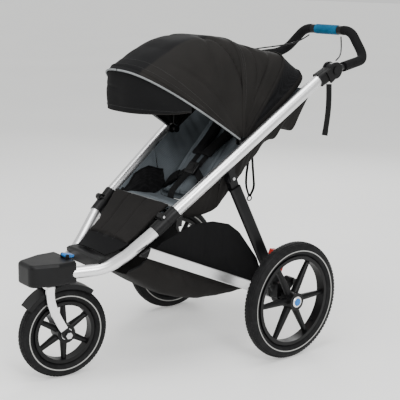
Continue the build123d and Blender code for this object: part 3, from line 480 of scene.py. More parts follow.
def evenShares(angle, count):
    # shares that space the points evenly round the arch
    line = np.array([tuple(canopyPoint(angle, i / 400)) for i in range(401)])
    lengths = np.concatenate([[0], np.cumsum(np.linalg.norm(np.diff(line, axis=0), axis=1))])
    return np.interp(np.linspace(0, lengths[-1], count), lengths, np.linspace(0, 1, 401))


def canopyLift(angle, low, high, share, seed, folds):
    # cloth sags between its bows, and folds run out from the hinge
    t = (angle - low) / (high - low)
    slack = math.sin(math.pi * t)
    side = abs(share - 0.5) * 2
    lift = -0.006 * slack * (0.2 + 0.8 * side)
    radial = cloudy(angle * 0.055, side * 1.6, seed + (7 if share > 0.5 else 0))
    lift += 0.008 * slack * radial * ease(side * 2.2 - 0.2)
    lift += 0.004 * slack * cloudy(angle * 0.05, share * 9.0, seed + 3)
    for angleAt, shareAt, slant, width, depth in folds:
        along = (share - shareAt) / 0.16
        if abs(along) < 1:
            lift -= depth * crease(angle, angleAt + slant * along, width) * (1 - along * along)
    return lift


def canopyPanel(name, low, high, seed, folds, outer, inner):
    rows = []
    for i in range(canopySet["along"]):
        angle = mix(low, high, i / (canopySet["along"] - 1))
        shares = evenShares(angle, canopySet["across"])
        row = []
        for k, turn in enumerate(shares):
            across = k / (len(shares) - 1)
            row.append(canopyPoint(angle, turn, canopyLift(angle, low, high, across, seed, folds)))
        rows.append(row)
    return shellOf(name, rows[::-1], canopySet["cloth"], outer, inner)


def topShadeMaterial(name, side, top, shadeEdge=0.085):
    # the canopy's middle strip is painted darker than its sides: painted shade where the top faces away from
    # the light
    material = clothMaterial(name, side)
    tree = material.node_tree
    shader = tree.nodes["Principled BSDF"]
    start = Wire(tree)
    before = Wire(tree, shader.inputs["Base Color"].links[0].from_socket)
    x = start.maths("ABSOLUTE", start.add("ShaderNodeTexCoord", out=3).part(0))
    # strip masks the painted shade along the middle of the canopy's top, with a soft edge
    strip = 1 - x.between(shadeEdge - 0.004, shadeEdge + 0.004)
    start.feed(shader.inputs["Base Color"], strip.blend(before, rgba(top)))
    return material


# the second colour is the painted shade on the canopy's top strip
canopyTopShadeCloth = topShadeMaterial("canopyCanvasTopShade", (0.0145, 0.0134, 0.0126), (0.0055, 0.0055, 0.006))

print("canopy")
frontPanel = canopyPanel("canopyFrontCloth", 92.5, 147.0, 11.0,
                         [(99, 0.30, 9, 1.6, 0.010), (108, 0.36, -7, 1.8, 0.006), (128, 0.24, 8, 2.2, 0.006),
                          (101, 0.72, -8, 1.8, 0.008), (120, 0.78, 6, 2.0, 0.006)], canopyTopShadeCloth, darkCloth)
middlePanel = canopyPanel("canopyMiddleCloth", 53.5, 91.5, 23.0,
                          [(78, 0.32, 7, 1.8, 0.008), (66, 0.25, -5, 1.6, 0.006), (80, 0.7, -6, 1.8, 0.007)],
                          canopyTopShadeCloth, darkCloth)
rearPanel = canopyPanel("canopyRearNet", 35.0, 52.5, 31.0, [], netCloth, netCloth)
place(frontPanel, "canopy_front", ["canopy_front_sheet"])
place(middlePanel, "canopy_middle", ["canopy_middle_sheet"])
place(rearPanel, "upper_frame", ["canopy_rear_sheet"])


def archLine(angle, lift, count=160):
    return [canopyPoint(angle, share, lift) for share in evenShares(angle, count)]


def archStrip(name, angle, lift, profile, material, body, wide):
    # wide is the angle that the strip's flat side leans to, from the floor
    wide = math.radians(wide)
    strip = sweepOf(name, archLine(angle, lift), profile, material, wide=(0, math.cos(wide), math.sin(wide)))
    return place(strip, body)


frontPiping = sweepOf("canopyFrontPiping", archLine(147.4, 0.002), roundProfile(0.0031), pipeCloth)
place(frontPiping, "canopy_front")
frontWelt = archStrip("canopyFrontWelt", 144.6, 0.0014, flatProfile(0.011, 0.0022), canopyTopShadeCloth,
                      "canopy_front", 55)
middleWelt = archStrip("canopyMiddleWelt", 91.9, 0.0012, flatProfile(0.012, 0.0024), canopyTopShadeCloth,
                       "canopy_middle", 0)
rearWelt = archStrip("canopyRearWelt", 53.0, 0.0018, flatProfile(0.014, 0.0028), charcoal,
                     "upper_frame", -37)
rearEdge = archStrip("canopyRearEdge", 35.0, 0.001, flatProfile(0.02, 0.003), charcoal,
                     "upper_frame", -55)

# bows under the cloth
bowSet = {"radius": 0.004, "front": (145.5, -0.0085), "middle": (90.0, -0.0085)}
frontBow = sweepOf("canopyFrontRod", archLine(*bowSet["front"]), roundProfile(bowSet["radius"]), blackCoat)
middleBow = sweepOf("canopyMiddleRod", archLine(*bowSet["middle"]), roundProfile(bowSet["radius"]), blackCoat)
place(frontBow, "canopy_front", ["canopy_front_bow"])
place(middleBow, "canopy_middle", ["canopy_middle_bow"])

# visor: hangs from the front bow, with a folded hem
visorSet = {"low": 0.834, "half": 0.1735, "cloth": 0.002, "hem": 0.016}


def visorPlan(x, shrink):
    half, reach, square = archAt(147)
    reach = (reach - shrink) * (1 - (abs(x) / half) ** square) ** (1 / square)
    return reach * math.cos(math.radians(147))


def visorRows(s, count=110, tall=26):
    rows = []
    line = np.array([(x, visorPlan(x, 0.0)) for x in np.linspace(-s["half"], s["half"], 500)])
    lengths = np.concatenate([[0], np.cumsum(np.linalg.norm(np.diff(line, axis=0), axis=1))])
    xs = np.interp(np.linspace(0, lengths[-1], count), lengths, line[:, 0])
    for k in range(tall):
        t = k / (tall - 1)
        row = []
        for i, x in enumerate(xs):
            y = visorPlan(x, 0.004)
            across = i / (count - 1)
            topZ = hinge.z + y * math.tan(math.radians(147)) - 0.002
            ends = ease(min(across, 1 - across) * 9)
            low = s["low"] + 0.004 * (1 - ends)
            z = mix(topZ, min(low, topZ - 0.001), t)
            puff = 0.006 * math.sin(math.pi * t)
            puff += 0.004 * cloudy(across * 7, t * 2.2, 5.0) * ease(4 * t * (1 - t))
            puff -= 0.005 * crease(t, 0.35 + 0.5 * abs(across - 0.3), 0.05) * crease(across, 0.42, 0.12)
            if t > 1 - s["hem"] / max(topZ - low, 0.02):
                puff += 0.0016
            out = Vector((x * 0.5, y, 0)).normalized()
            row.append(Vector((x, hinge.y + y, z)) + out * (puff - 0.001) * ends)
        rows.append(row)
    return rows


visorPiece = shellOf("visorCloth", visorRows(visorSet)[::-1], visorSet["cloth"], charcoal, darkCloth)
place(visorPiece, "visor_panel", ["visor"])
visorLine = visorRows(visorSet)[-1]
visorEdge = sweepOf("visorHemEdge", visorLine, roundProfile(0.0022, 8), charcoal, wide=(0, 0, 1))
place(visorEdge, "visor_panel")

for piece in (frontPanel, middlePanel, rearPanel, frontPiping, frontWelt, middleWelt, rearWelt, rearEdge,
              frontBow, middleBow, visorPiece, visorEdge):
    fold(piece)

# the side tubes' line, and what hangs from it
tubeSet = {"low": (180, -383, 530), "high": (255, 156, 922), "radius": 0.019}


def onTube(depth, side=1):
    t = (depth - tubeSet["low"][1]) / (tubeSet["high"][1] - tubeSet["low"][1])
    x, y, z = (mix(a, b, t) for a, b in zip(tubeSet["low"], tubeSet["high"]))
    return at(side * x, y, z)


def insideTube(depth, side):
    return onTube(depth, side) + Vector((-side * 0.0205, 0, -0.003))


print("seat sling")
# lower line of the sling in side view, (depth, height)
bucketLow = [(-371, 500), (-300, 492), (-240, 491), (-212, 494), (-196, 500)]
coverLow = [(-196, 500), (-157, 531), (-140, 548), (-100, 588), (-50, 638), (-10, 677), (8, 695), (40, 712),
            (68, 716), (90, 748), (114, 750), (154, 737), (176, 781), (194, 850), (204, 905)]
slingSet = {"floorHalf": 0.1475, "cloth": 0.0022, "corner": 0.018}


def lowLine(points, depth):
    return float(np.interp(depth, [p[0] for p in points], [p[1] for p in points]))


def slingRows(points, start, end, count, seed, ripple):
    rows = []
    for i in range(count):
        depth = mix(start, end, i / (count - 1))
        low = lowLine(points, depth)
        left, right = insideTube(depth, 1), insideTube(depth, -1)
        half = slingSet["floorHalf"]
        corner = at(half * 1000, depth, low)
        other = at(-half * 1000, depth, low)
        line = runOf([left, corner, other, right], 84, slingSet["corner"])
        row = []
        for k, p in enumerate(line):
            share = k / (len(line) - 1)
            side = abs(share - 0.5) * 2
            edge = ease((1 - side) * 8)
            push = ripple * edge * cloudy(depth * 0.016, share * 2.0, seed) * (0.4 + side)
            push += ripple * 0.6 * edge * cloudy(depth * 0.05 + share * 6, share * 3.0, seed + 4)
            out = Vector((math.copysign(1, p.x) * side, 0, -(1 - side)))
            row.append(p + out * push)
        rows.append(row)
    return rows


bucketCloth = shellOf("seatBucketCloth", slingRows(bucketLow, -371, -196, 44, 2.0, 0.005)[::-1],
                      slingSet["cloth"], charcoal, greyCloth)
place(bucketCloth, "upper_frame", ["seat_base"])
coverCloth = shellOf("seatRearCloth", slingRows(coverLow, -195, 200, 84, 9.0, 0.007)[::-1], slingSet["cloth"],
                     charcoal, greyCloth)
at(0, -90, 730)
at(0, -48, 672)
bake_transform(coverCloth)


def bake(piece):
    # the modifiers' result becomes the mesh, with the piece's own materials
    materials = list(piece.data.materials)
    data = bpy.data.meshes.new_from_object(piece.evaluated_get(bpy.context.evaluated_depsgraph_get()))
    piece.modifiers.clear()
    piece.data = data
    data.materials.clear()
    for material in materials:
        data.materials.append(material)
    return data


def padCloth(piece, voxel, cap, frames=20, pressure=4.0):
    # stuffing: remesh, blow up with cloth, keep each point near where it began
    remesh = piece.modifiers.new("remesh", "REMESH")
    remesh.mode = "VOXEL"
    remesh.voxel_size = voxel
    remesh.use_smooth_shade = True
    data = bake(piece)
    began = np.array([v.co for v in data.vertices])
    cloth = piece.modifiers.new("cloth", "CLOTH")
    cloth.settings.use_pressure = True
    cloth.settings.uniform_pressure_force = pressure
    cloth.settings.effector_weights.gravity = 0
    cloth.settings.quality = 4
    scene = bpy.context.scene
    for number in range(1, frames + 1):
        scene.frame_set(number)
    seen = piece.evaluated_get(bpy.context.evaluated_depsgraph_get())
    ended = np.array([v.co for v in seen.data.vertices])
    piece.modifiers.clear()
    scene.frame_set(1)
    moved = ended - began
    far = np.linalg.norm(moved, axis=1, keepdims=True)
    moved *= np.minimum(1, cap / np.maximum(far, 1e-9))
    data.vertices.foreach_set("co", (began + moved).ravel())
    smooth = piece.modifiers.new("smooth", "SUBSURF")
    smooth.levels = smooth.render_levels = 1
    bake(piece)


def moveAll(piece, change):
    # change(point, normal) gives each point's new place
    data = piece.data
    normals = [v.normal.copy() for v in data.vertices]
    for v, normal in zip(data.vertices, normals):
        v.co = change(v.co, normal)
    data.update()


print("seat pads")
backSet = {"bight": (-226, 500), "angle": 49, "half": 0.134, "from": 0.03, "to": 0.485, "thick": 0.017}
lean = math.radians(backSet["angle"])
backAlong = Vector((0, math.cos(lean), math.sin(lean)))
backOut = Vector((0, -math.sin(lean), math.cos(lean)))  # towards the child
bight = at(0, *backSet["bight"])


def onBack(x, along, out):
    return bight + Vector((x, 0, 0)) + backAlong * along + backOut * out


def backRows(s, middle):
    rows = []
    for i in range(40):
        along = mix(s["from"], s["to"], i / 39)
        half = s["half"] * (1 - 0.06 * ease(along / 0.5))
        rows.append([onBack(mix(-half, half, k / 29), along, middle) for k in range(30)])
    return rows


seatBackPad = shellOf("seatBackPad", backRows(backSet, -0.013), backSet["thick"], greyCloth)
padCloth(seatBackPad, 0.005, 0.008)


def backSeams(p, normal):
    # two sewn channels each side of a darker middle
    depth = 0.0
    for seam in (-0.098, -0.042, 0.042, 0.098):
        depth += 0.005 * crease(p.x, seam, 0.0045)
    return p - normal * depth


moveAll(seatBackPad, backSeams)
place(seatBackPad, "backrest", ["seat_back"])

cushionSet = {"half": 0.140, "line": [(-366, 532), (-330, 524), (-290, 515), (-246, 509)], "thick": 0.013}


def cushionRows(s):
    line = runOf([at(0, *p) for p in s["line"]], 22, 0.01)
    rows = []
    for p in line:
        rows.append([p + Vector((mix(-s["half"], s["half"], k / 35), 0, -0.004 * (k / 17.5 - 1) ** 4))
                     for k in range(36)])
    return rows


cushion = shellOf("seatCushion", cushionRows(cushionSet), cushionSet["thick"], greyCloth)
padCloth(cushion, 0.005, 0.007)
place(cushion, "upper_frame")
edgeHalf = 142
edgeLine = [at(x, -371 - 4 * (1 - (x / edgeHalf) ** 2), 541 - 4 * (x / edgeHalf) ** 2)
            for x in np.linspace(-edgeHalf, edgeHalf, 40)]
cushionEdge = sweepOf("seatFrontPiping", edgeLine, roundProfile(0.0035), pipeCloth, wide=(0, 0, 1))
place(cushionEdge, "upper_frame")

print("leg panel")
panelSet = {"line": [(-380, 545), (-412, 520), (-486, 450), (-524, 424)], "halfTop": 0.1475, "halfLow": 0.107,
            "thick": 0.010}


def panelRows(line, halfTop, halfLow, count, wide, lift=0.0):
    path = runOf([at(0, *p) for p in line], count, 0.03)
    rows = []
    for i, p in enumerate(path):
        t = i / (count - 1)
        half = mix(halfTop, halfLow, t)
        row = []
        for k in range(wide):
            x = mix(-half, half, k / (wide - 1))
            bow = 0.008 * (1 - (x / half) ** 2)
            row.append(p + Vector((x, -bow * 0.55, bow * 0.8 + lift)))
        rows.append(row)
    return rows


panelGrid = panelRows(panelSet["line"], panelSet["halfTop"], panelSet["halfLow"], 30, 44)
legPanel = shellOf("legPanelPad", panelGrid, panelSet["thick"], charcoal)
padCloth(legPanel, 0.005, 0.006)


def panelSeams(p, normal):
    # two long seams that draw together towards the foot
    down = (at(0, -380, 0).y - p.y) / 0.15
    seam = 0.046 - 0.006 * down
    depth = 0.004 * crease(p.x, seam, 0.004) + 0.004 * crease(p.x, -seam, 0.004)
    return p - normal * depth * ease(normal.z * 2)


moveAll(legPanel, panelSeams)
place(legPanel, "front_frame", ["leg_panel"])
footFlap = shellOf("footFlapCloth", panelRows([(-516, 430), (-548, 408), (-584, 396)], 0.113, 0.079, 22, 40),
                   0.003, darkCloth)
place(footFlap, "front_frame")
flapTab = sweepOf("legPanelTab", runOf([at(0, -492, 462), at(0, -516, 444), at(0, -536, 424)], 12, 0.01),
                  flatProfile(0.026, 0.003), webbing)
place(flapTab, "front_frame")

print("basket")
basketSet = {"high": [(-540, 352), (-500, 364), (-420, 430), (-313, 474), (-238, 476), (-177, 460),
                      (-136, 428), (-64, 330), (-36, 252)],
             "low": [(-540, 336), (-390, 238), (-320, 212), (-246, 196), (-180, 194), (-127, 196),
                     (-36, 214)],
             "cloth": 0.002, "square": 6.5}


def basketHalf(depth):
    return mix(0.1415, 0.2225, (depth + 560) / 544)


def railHeight(depth):
    return 200 - depth * 209 / 484


def basketRows(s, alongCount=90, acrossCount=96):
    rows = []
    for i in range(alongCount):
        depth = mix(-539, -37, i / (alongCount - 1))
        high = float(np.interp(depth, *zip(*s["high"]))) / 1000
        low = float(np.interp(depth, *zip(*s["low"]))) / 1000
        half = basketHalf(depth)
        base = half * 0.93
        row = []
        for k in range(acrossCount):
            turn = math.pi * k / (acrossCount - 1)
            c, sn = math.cos(turn), math.sin(turn)
            drop = sn ** (2 / s["square"])
            x = math.copysign(abs(c) ** (2 / s["square"]), c) * mix(half, base, drop)
            z = high - (high - low) * drop
            side = abs(x) / half
            below = ease((railHeight(depth) / 1000 - 0.02 - z) * 14)
            slack = 0.008 * cloudy(depth * 0.012, z * 9, 4.0 + math.copysign(2, x)) * side
            slack += 0.006 * cloudy(depth * 0.04 + z * 30, z * 14, 8.0) * side * (1 - below)
            slack *= ease(drop * 5) * ease((1 - drop) * 40 + 0.4)
            x -= math.copysign(abs(slack), x)
            row.append(Vector((x, axleY + depth / 1000, z)))
        rows.append(row)
    grid = np.array([[tuple(p) for p in row] for row in rows])
    mid = (grid[:-1, :-1] + grid[1:, 1:]) / 2
    depths = (mid[..., 1] - axleY) * 1000
    tones = (mid[..., 2] * 1000 > railHeight(depths) + 4).astype(int).ravel()
    return rows, tones


basketGrid, basketTones = basketRows(basketSet)
basketPiece = shellOf("basketCloth", basketGrid, basketSet["cloth"], [charcoal, darkCloth], tone=basketTones)
place(basketPiece, "rails", ["basket"])
basketRims = []
for word, column in (("Left", 0), ("Right", -1)):
    rim = sweepOf("basketRim" + word, [row[column] for row in basketGrid], roundProfile(0.003, 8), darkCloth)
    basketRims.append(place(rim, "rails"))
for piece in [basketPiece, *basketRims]:
    at(0, -242, 304)
    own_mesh(piece)

# seat wall pockets: net panels just inside the walls
pocketSet = {"depths": (-378, -178), "tops": [(-378, 0.55), (-300, 0.98), (-240, 0.8), (-178, 0.42)],
             "inset": 0.007, "bulge": 0.012}


def wallPoint(depth, share, side, inset):
    low = lowLine(bucketLow + coverLow[1:], depth)
    corner = at(side * slingSet["floorHalf"] * 1000, depth, low + 10)
    top = insideTube(depth, side)
    p = corner + (top - corner) * share
    return p - Vector((side * inset, 0, 0))


def pocketRows(s, side):
    rows = []
    for i in range(40):
        depth = mix(*s["depths"], i / 39)
        high = float(np.interp(depth, *zip(*s["tops"])))
        row = []
        for k in range(18):
            t = k / 17
            bulge = s["bulge"] * math.sin(math.pi * min(1, t * 0.7 + 0.15)) * math.sin(math.pi * i / 39)
            bulge += 0.003 * cloudy(depth * 0.05, t * 4, 3.0 + side)
            row.append(wallPoint(depth, 0.08 + (high - 0.08) * t, side, s["inset"] + max(bulge, 0)))
        rows.append(row)
    return rows


print("pockets")
for side, word in ((1, "Left"), (-1, "Right")):
    grid = pocketRows(pocketSet, side)
    pocket = shellOf("seatPocket" + word, grid if side > 0 else grid[::-1], 0.0015, netCloth)
    place(pocket, "upper_frame")
    hem = sweepOf("seatPocketHem" + word, [row[-1] for row in grid], roundProfile(0.003, 8), darkCloth,
                  wide=(0, 0, 1))
    place(hem, "upper_frame")

# harness: pads on two straps, a waist belt and a crotch strap that meet in a buckle
harnessSet = {"top": 0.055, "meet": 0.020, "topAlong": 0.430, "meetAlong": 0.135, "web": 0.025,
              "padWidth": 0.052, "padThick": 0.012, "padFrom": 0.18, "padTo": 0.36}


def strapLine(s, side, first, last, lift, count=24):
    line = []
    for i in range(count):
        along = mix(first, last, i / (count - 1))
        t = (along - s["meetAlong"]) / (s["topAlong"] - s["meetAlong"])
        x = side * mix(s["meet"], s["top"], ease(max(t, 0)))
        out = lift + 0.028 * (1 - ease(max(t, 0) * 1.6))
        line.append(onBack(x, along, out))
    return line


print("harness")
buckleAt = onBack(0, harnessSet["meetAlong"] - 0.012, 0.036)
for side, word in ((1, "Left"), (-1, "Right")):
    web = sweepOf("shoulderWeb" + word, strapLine(harnessSet, side, harnessSet["meetAlong"], 0.470, 0.0055),
                  flatProfile(harnessSet["web"], 0.002), webbing)
    place(web, "backrest")
    padLine = strapLine(harnessSet, side, harnessSet["padFrom"], harnessSet["padTo"], 0.014)
    pad = sweepOf("shoulderPad" + word, padLine,
                  flatProfile(harnessSet["padWidth"], harnessSet["padThick"], 0.7), darkCloth)
    padCloth(pad, 0.004, 0.004)
    place(pad, "backrest")
    waist = [onBack(side * 0.018, 0.120, 0.034), onBack(side * 0.060, 0.095, 0.026),
             onBack(side * 0.105, 0.070, 0.010), onBack(side * 0.128, 0.060, -0.004)]
    belt = sweepOf("waistWeb" + word, runOf(waist, 24, 0.02), flatProfile(harnessSet["web"], 0.002), webbing,
                   wide=tuple(backAlong))
    place(belt, "backrest")
    waistPad = sweepOf("waistPad" + word, runOf(waist[1:], 18, 0.02), flatProfile(0.046, 0.011, 0.7),
                       darkCloth, wide=tuple(backAlong))
    padCloth(waistPad, 0.004, 0.004)
    place(waistPad, "backrest")
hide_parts("harness_straps")
crotch = sweepOf("crotchWeb", runOf([buckleAt - backAlong * 0.01, onBack(0, 0.085, 0.046), at(0, -262, 548),
                                     at(0, -268, 517)], 24, 0.03), flatProfile(0.032, 0.003), webbing)
place(crotch, "upper_frame")


def softBox(name, centre, size, turn, bevel, material):
    # a box with rounded edges, turned about x
    x, y, z = (v / 2 for v in size)
    corners = [Vector((i * x, j * y, k * z)) for i in (-1, 1) for j in (-1, 1) for k in (-1, 1)]
    spin = Matrix.Rotation(turn, 3, "X")
    faces = [(0, 1, 3, 2), (4, 6, 7, 5), (0, 4, 5, 1), (2, 3, 7, 6), (0, 2, 6, 4), (1, 5, 7, 3)]
    box = newPiece(name, [centre + spin @ c for c in corners], faces, [material])
    rounding = box.modifiers.new("rounding", "BEVEL")
    rounding.width = bevel
    rounding.segments = 3
    bake(box)
    return box


buckle = softBox("harnessBuckle", buckleAt, (0.052, 0.048, 0.016), lean, 0.005, blackShell)
place(buckle, "backrest")
button = softBox("buckleButton", buckleAt + backOut * 0.008, (0.024, 0.024, 0.006), lean, 0.0025, blackShell)
place(button, "backrest")

print("recline straps")
reclineSet = {"front": [(-24, 640), (-31, 596), (-31, 556), (-14, 520)],
              "rear": [(-12, 520), (8, 548), (0, 606), (-8, 676)], "x": 118, "ring": (-13, 513)}
for side, word in ((1, "Left"), (-1, "Right")):
    for kind in ("front", "rear"):
        line = runOf([at(side * reclineSet["x"], *p) for p in reclineSet[kind]], 26, 0.03)
        web = sweepOf("recline" + kind.title() + word, line, flatProfile(0.011, 0.002), webbing)
        place(web, "backrest")
    ringLine = [at(side * reclineSet["x"], reclineSet["ring"][0], reclineSet["ring"][1])
                + Vector((0, 0.010 * math.cos(a), 0.008 * math.sin(a)))
                for a in np.linspace(0, 2 * math.pi, 28, endpoint=False)]
    ring = sweepOf("reclineRing" + word, ringLine, roundProfile(0.0022, 8), blackShell, closed=True)
    place(ring, "backrest")

print("cables and wrist strap")
cableSet = {"radius": 0.0025, "route": [(80, 452, 1051), (96, 437, 1034), (122, 410, 1018), (156, 372, 1007),
                                        (192, 330, 999), (224, 288, 991), (246, 250, 985)]}
wristSet = {"width": 0.026, "thick": 0.003, "route": [(276, 188, 910), (280, 186, 880), (283, 184, 846),
                                                      (285, 180, 810), (287, 173, 774), (288, 166, 739)]}


def routeCurve(name, points, radius, material):
    data = bpy.data.curves.new(name, "CURVE")
    data.dimensions = "3D"
    data.resolution_u = 12
    spline = data.splines.new("NURBS")
    spline.points.add(len(points) - 1)
    for target, p in zip(spline.points, points):
        target.co = (*p, 1.0)
    spline.order_u = 3
    spline.use_endpoint_u = True
    data.bevel_depth = radius
    data.bevel_resolution = 4
    data.use_fill_caps = radius > 0
    if material is not None:
        data.materials.append(material)
    return linked(name, data)


def readLine(points):
    probe = routeCurve("probe", points, 0.0, None)
    bpy.context.view_layer.update()
    data = bpy.data.meshes.new_from_object(probe.evaluated_get(bpy.context.evaluated_depsgraph_get()))
    line = [v.co.copy() for v in data.vertices]
    bpy.data.objects.remove(probe)
    return line


def lengthOf(line):
    return sum((b - a).length for a, b in zip(line, line[1:]))


for side, word in ((1, "Left"), (-1, "Right")):
    route = [at(side * x, depth, height) for x, depth, height in cableSet["route"]]
    cable = routeCurve("releaseCable" + word, route, cableSet["radius"], cableSkin)
    place(cable, "handlebar", ["release_cables"])
    lengthOf(readLine(route))
wristLine = readLine([at(*p) for p in wristSet["route"]])
wrist = sweepOf("wristWeb", wristLine, flatProfile(wristSet["width"], wristSet["thick"]), webbing,
                wide=(0, 1, 0))
place(wrist, "upper_frame", ["wrist_strap"])
wristHem = sweepOf("wristHem", wristLine[-5:], flatProfile(wristSet["width"] + 0.001, 0.0056), webbing,
                   wide=(0, 1, 0))
place(wristHem, "upper_frame")

print("repeats")


def startTree(name, **inputs):
    # gives one wire for the geometry and one for each named input
    tree = bpy.data.node_groups.new(name, "GeometryNodeTree")
    for label, kind in {"Geometry": "Geometry", **inputs}.items():
        tree.interface.new_socket(name=label, in_out="INPUT", socket_type="NodeSocket" + kind)
    tree.interface.new_socket(name="Geometry", in_out="OUTPUT", socket_type="NodeSocketGeometry")
    entry = tree.nodes.new("NodeGroupInput")
    return [Wire(tree, entry.outputs[label]) for label in ("Geometry", *inputs)]


def endTree(instances, material):
    real = instances.add("GeometryNodeRealizeInstances", None, {"Geometry": instances})
    painted = real.add("GeometryNodeSetMaterial", None, {"Geometry": real, "Material": material})
    tree = painted.tree
    tree.links.new(painted.socket, tree.nodes.new("NodeGroupOutput").inputs["Geometry"])
    return tree


def stitchTree():
    # one flattened bead at every pitch along a line
    line, pitch, size, material = startTree("stitchesAlong", Pitch="Float", Bead="Vector",
                                            Material="Material")
    curve = line.add("GeometryNodeMeshToCurve", None, {0: line})
    spots = line.add("GeometryNodeCurveToPoints", {"mode": "LENGTH"}, {"Curve": curve, "Length": pitch},
                     "Points")
    turns = Wire(spots.tree, spots.socket.node.outputs["Rotation"])
    bead = line.add("GeometryNodeMeshUVSphere", None, {"Segments": 6, "Rings": 4, "Radius": 1.0})
    put = line.add("GeometryNodeInstanceOnPoints", None,
                   {"Points": spots, "Rotation": turns, "Instance": bead, "Scale": size})
    return endTree(put, material)


def treadTree():
    # one block at every point, its height pointing away from the wheel's axis
    points, centre, size, material = startTree("treadAround", Centre="Vector", Block="Vector",
                                               Material="Material")
    away = points.add("ShaderNodeVectorMath", {"operation": "SUBTRACT"},
                      {0: points.add("GeometryNodeInputPosition"), 1: centre})
    flat = points.add("ShaderNodeVectorMath", {"operation": "MULTIPLY"}, {0: away, 1: (0, 1, 1)})
    aim = points.add("FunctionNodeAlignRotationToVector", {"axis": "Z", "pivot_axis": "X"}, {"Vector": flat})
    block = points.add("GeometryNodeMeshCube", None, {"Size": size})
    put = points.add("GeometryNodeInstanceOnPoints", None,
                     {"Points": points, "Instance": block, "Rotation": aim})
    return endTree(put, material)


stitches, treads = stitchTree(), treadTree()


def repeated(name, lines, tree, values):
    points, edges = [], []
    for line in lines:
        edges += [(len(points) + i, len(points) + i + 1) for i in range(len(line) - 1)]
        points += [tuple(p) for p in line]
    data = bpy.data.meshes.new(name)
    data.from_pydata(points, edges, [])
    piece = linked(name, data)
    pattern = piece.modifiers.new("pattern", "NODES")
    pattern.node_group = tree
    for item in tree.interface.items_tree:
        if item.in_out == "INPUT" and item.name in values:
            pattern[item.identifier] = values[item.name]
    bpy.context.view_layer.update()
    data = bpy.data.meshes.new_from_object(piece.evaluated_get(bpy.context.evaluated_depsgraph_get()))
    piece.modifiers.clear()
    piece.data = data
    return piece


thread = plasticMaterial("sewingThread", (0.05, 0.05, 0.05), 0.7)


def stitched(name, lines, body, pitch=0.0042, size=(0.0005, 0.0005, 0.0014)):
    piece = repeated(name, lines, stitches, {"Pitch": pitch, "Bead": size, "Material": thread})
    return place(piece, body)


fold(stitched("canopyFrontStitches", [archLine(143.2, 0.0016), archLine(139.6, 0.0012)], "canopy_front"))
fold(stitched("canopyMiddleStitches", [archLine(90.4, 0.0016), archLine(88.6, 0.0012)], "canopy_middle"))
hemRow = visorRows(visorSet)[-4]
fold(stitched("visorStitches", [[p + Vector((p.x * 0.5, -0.25, 0)).normalized() * 0.0022 for p in hemRow]],
              "visor_panel"))


def panelLine(x, count=40):
    rows = panelRows(panelSet["line"], panelSet["halfTop"], panelSet["halfLow"], count, 3)
    line = []
    for i, row in enumerate(rows):
        half = abs(row[0].x)
        here = x * (1 - 0.13 * i / (count - 1))
        line.append(Vector((here, row[1].y, row[1].z)) + Vector((0, -0.0042, 0.0042))
                    + Vector((0, -0.0044, 0.0064)) * (1 - (here / half) ** 2 - 1))
    return line


stitched("legPanelStitches", [panelLine(0.051), panelLine(-0.051)], "front_frame")

treadSet = {"rows": [(-14, 0), (-7, 1), (0, 0), (7, 1), (14, 0)], "pitch": 0.0125,
            "block": (0.0052, 0.0088, 0.0026)}


def treadPiece(name, node, body, radius, turn):
    centre = centreOf(node)
    half = wheelSet["tyreHalf"]
    count = int(2 * math.pi * radius / treadSet["pitch"])
    lines = []
    for x, shift in treadSet["rows"]:
        high = radius - half + math.sqrt(half ** 2 - (x / 1000) ** 2) - treadSet["block"][2] / 2 + 0.0004
        ring = []
        for i in range(count):
            a = 2 * math.pi * (i + shift / 2) / count
            ring.append(Vector((x / 1000, high * math.cos(a), high * math.sin(a))))
        lines.append(ring)
    piece = repeated(name, lines, treads, {"Centre": (0, 0, 0), "Block": treadSet["block"],
                                           "Material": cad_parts[node].data.materials[0]})
    piece.data.transform(Matrix.Translation(centre) @ Matrix.Rotation(turn, 4, "Z"))
    return place(piece, body)


for side in ("left", "right"):
    treadPiece("rearTread" + side.title(), "rear_tyre_" + side, "rear_wheel_" + side,
               wheelSet["rearRadius"], 0.0)
treadPiece("frontTread", "front_tyre", "front_wheel", wheelSet["frontRadius"], wheelSet["frontTurn"])

# grip collars, and a valve on each wheel
for side, word in ((1, "Left"), (-1, "Right")):
    collar = sweepOf("gripCollar" + word, [at(side * x, 465, 1074) for x in (56, 58, 70, 84, 86)],
                     roundProfile(0.0168, 32), blackShell, wide=(0, 0, 1))
    place(collar, "handlebar")


def valve(name, node, body, radius, angle, turn):
    centre = centreOf(node)
    spin = Matrix.Rotation(turn, 3, "Z")
    out = spin @ Vector((0, math.cos(angle), math.sin(angle)))
    line = [centre + out * r for r in (radius, radius - 0.018, radius - 0.0185, radius - 0.030)]
    stem = sweepOf(name, line, roundProfile(0.0042, 12), cableSkin, wide=tuple(spin @ Vector((1, 0, 0))))
    place(stem, body)


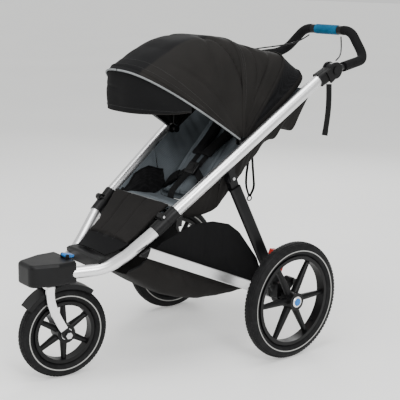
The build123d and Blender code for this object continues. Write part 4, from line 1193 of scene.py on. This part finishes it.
valveSet = {"rearRadius": 0.160, "rearAngle": math.radians(-42), "frontRadius": 0.108,
            "frontAngle": math.radians(35)}
for side in ("left", "right"):
    valve("rearValve" + side.title(), "rear_tyre_" + side, "rear_wheel_" + side,
          valveSet["rearRadius"], valveSet["rearAngle"], 0.0)
valve("frontValve", "front_tyre", "front_wheel", valveSet["frontRadius"], valveSet["frontAngle"],
      wheelSet["frontTurn"])


# floor, light and sky
stageSet = {"floor": (0.86, 0.86, 0.85), "glow": 0.28, "sky": (0.88, 0.885, 0.875), "skyPower": 0.95}


def makeStage(s):
    data = bpy.data.meshes.new("floor")
    size = 60.0
    corners = [(-size, -size, 0), (size, -size, 0), (size, size, 0), (-size, size, 0)]
    data.from_pydata(corners, [], [(0, 1, 2, 3)])
    floor = linked("floor", data)
    material, start, spot, shader = newMaterial("paperFloor", Emission_Strength=s["glow"],
                                                 Emission_Color=rgba(s["floor"]))
    slow = noiseOf(start, spot, 0.8, 2.0)
    paper = slow.between(0.2, 0.8).blend(rgba(s["floor"], 0.97), rgba(s["floor"], 1.03))
    finishMaterial(start, shader, paper, 0.9)
    data.materials.append(material)
    world = bpy.data.worlds.new("studio")
    bpy.context.scene.world = world
    world.use_nodes = True
    sky = world.node_tree.nodes["Background"]
    sky.inputs["Color"].default_value = rgba(s["sky"])
    sky.inputs["Strength"].default_value = s["skyPower"]


def makeLight(name, spot, target, size, power):
    data = bpy.data.lights.new(name, "AREA")
    data.shape = "DISK"
    data.size = size
    data.energy = power
    lamp = linked(name, data)
    lamp.location = spot
    lamp.rotation_mode = "QUATERNION"
    lamp.rotation_quaternion = (Vector(spot) - Vector(target)).to_track_quat("Z", "Y")


makeStage(stageSet)
makeLight("keyLight", (3.2, -1.2, 2.6), (0, 0, 0.5), 1.6, 90)
makeLight("topLight", (0.4, -0.6, 3.4), (0, 0, 0.5), 2.2, 70)
makeLight("fillLight", (-1.6, -3.2, 1.6), (0, 0, 0.4), 2.0, 30)
makeLight("rearLight", (-2.2, 2.6, 2.2), (0, 0, 0.6), 1.6, 40)
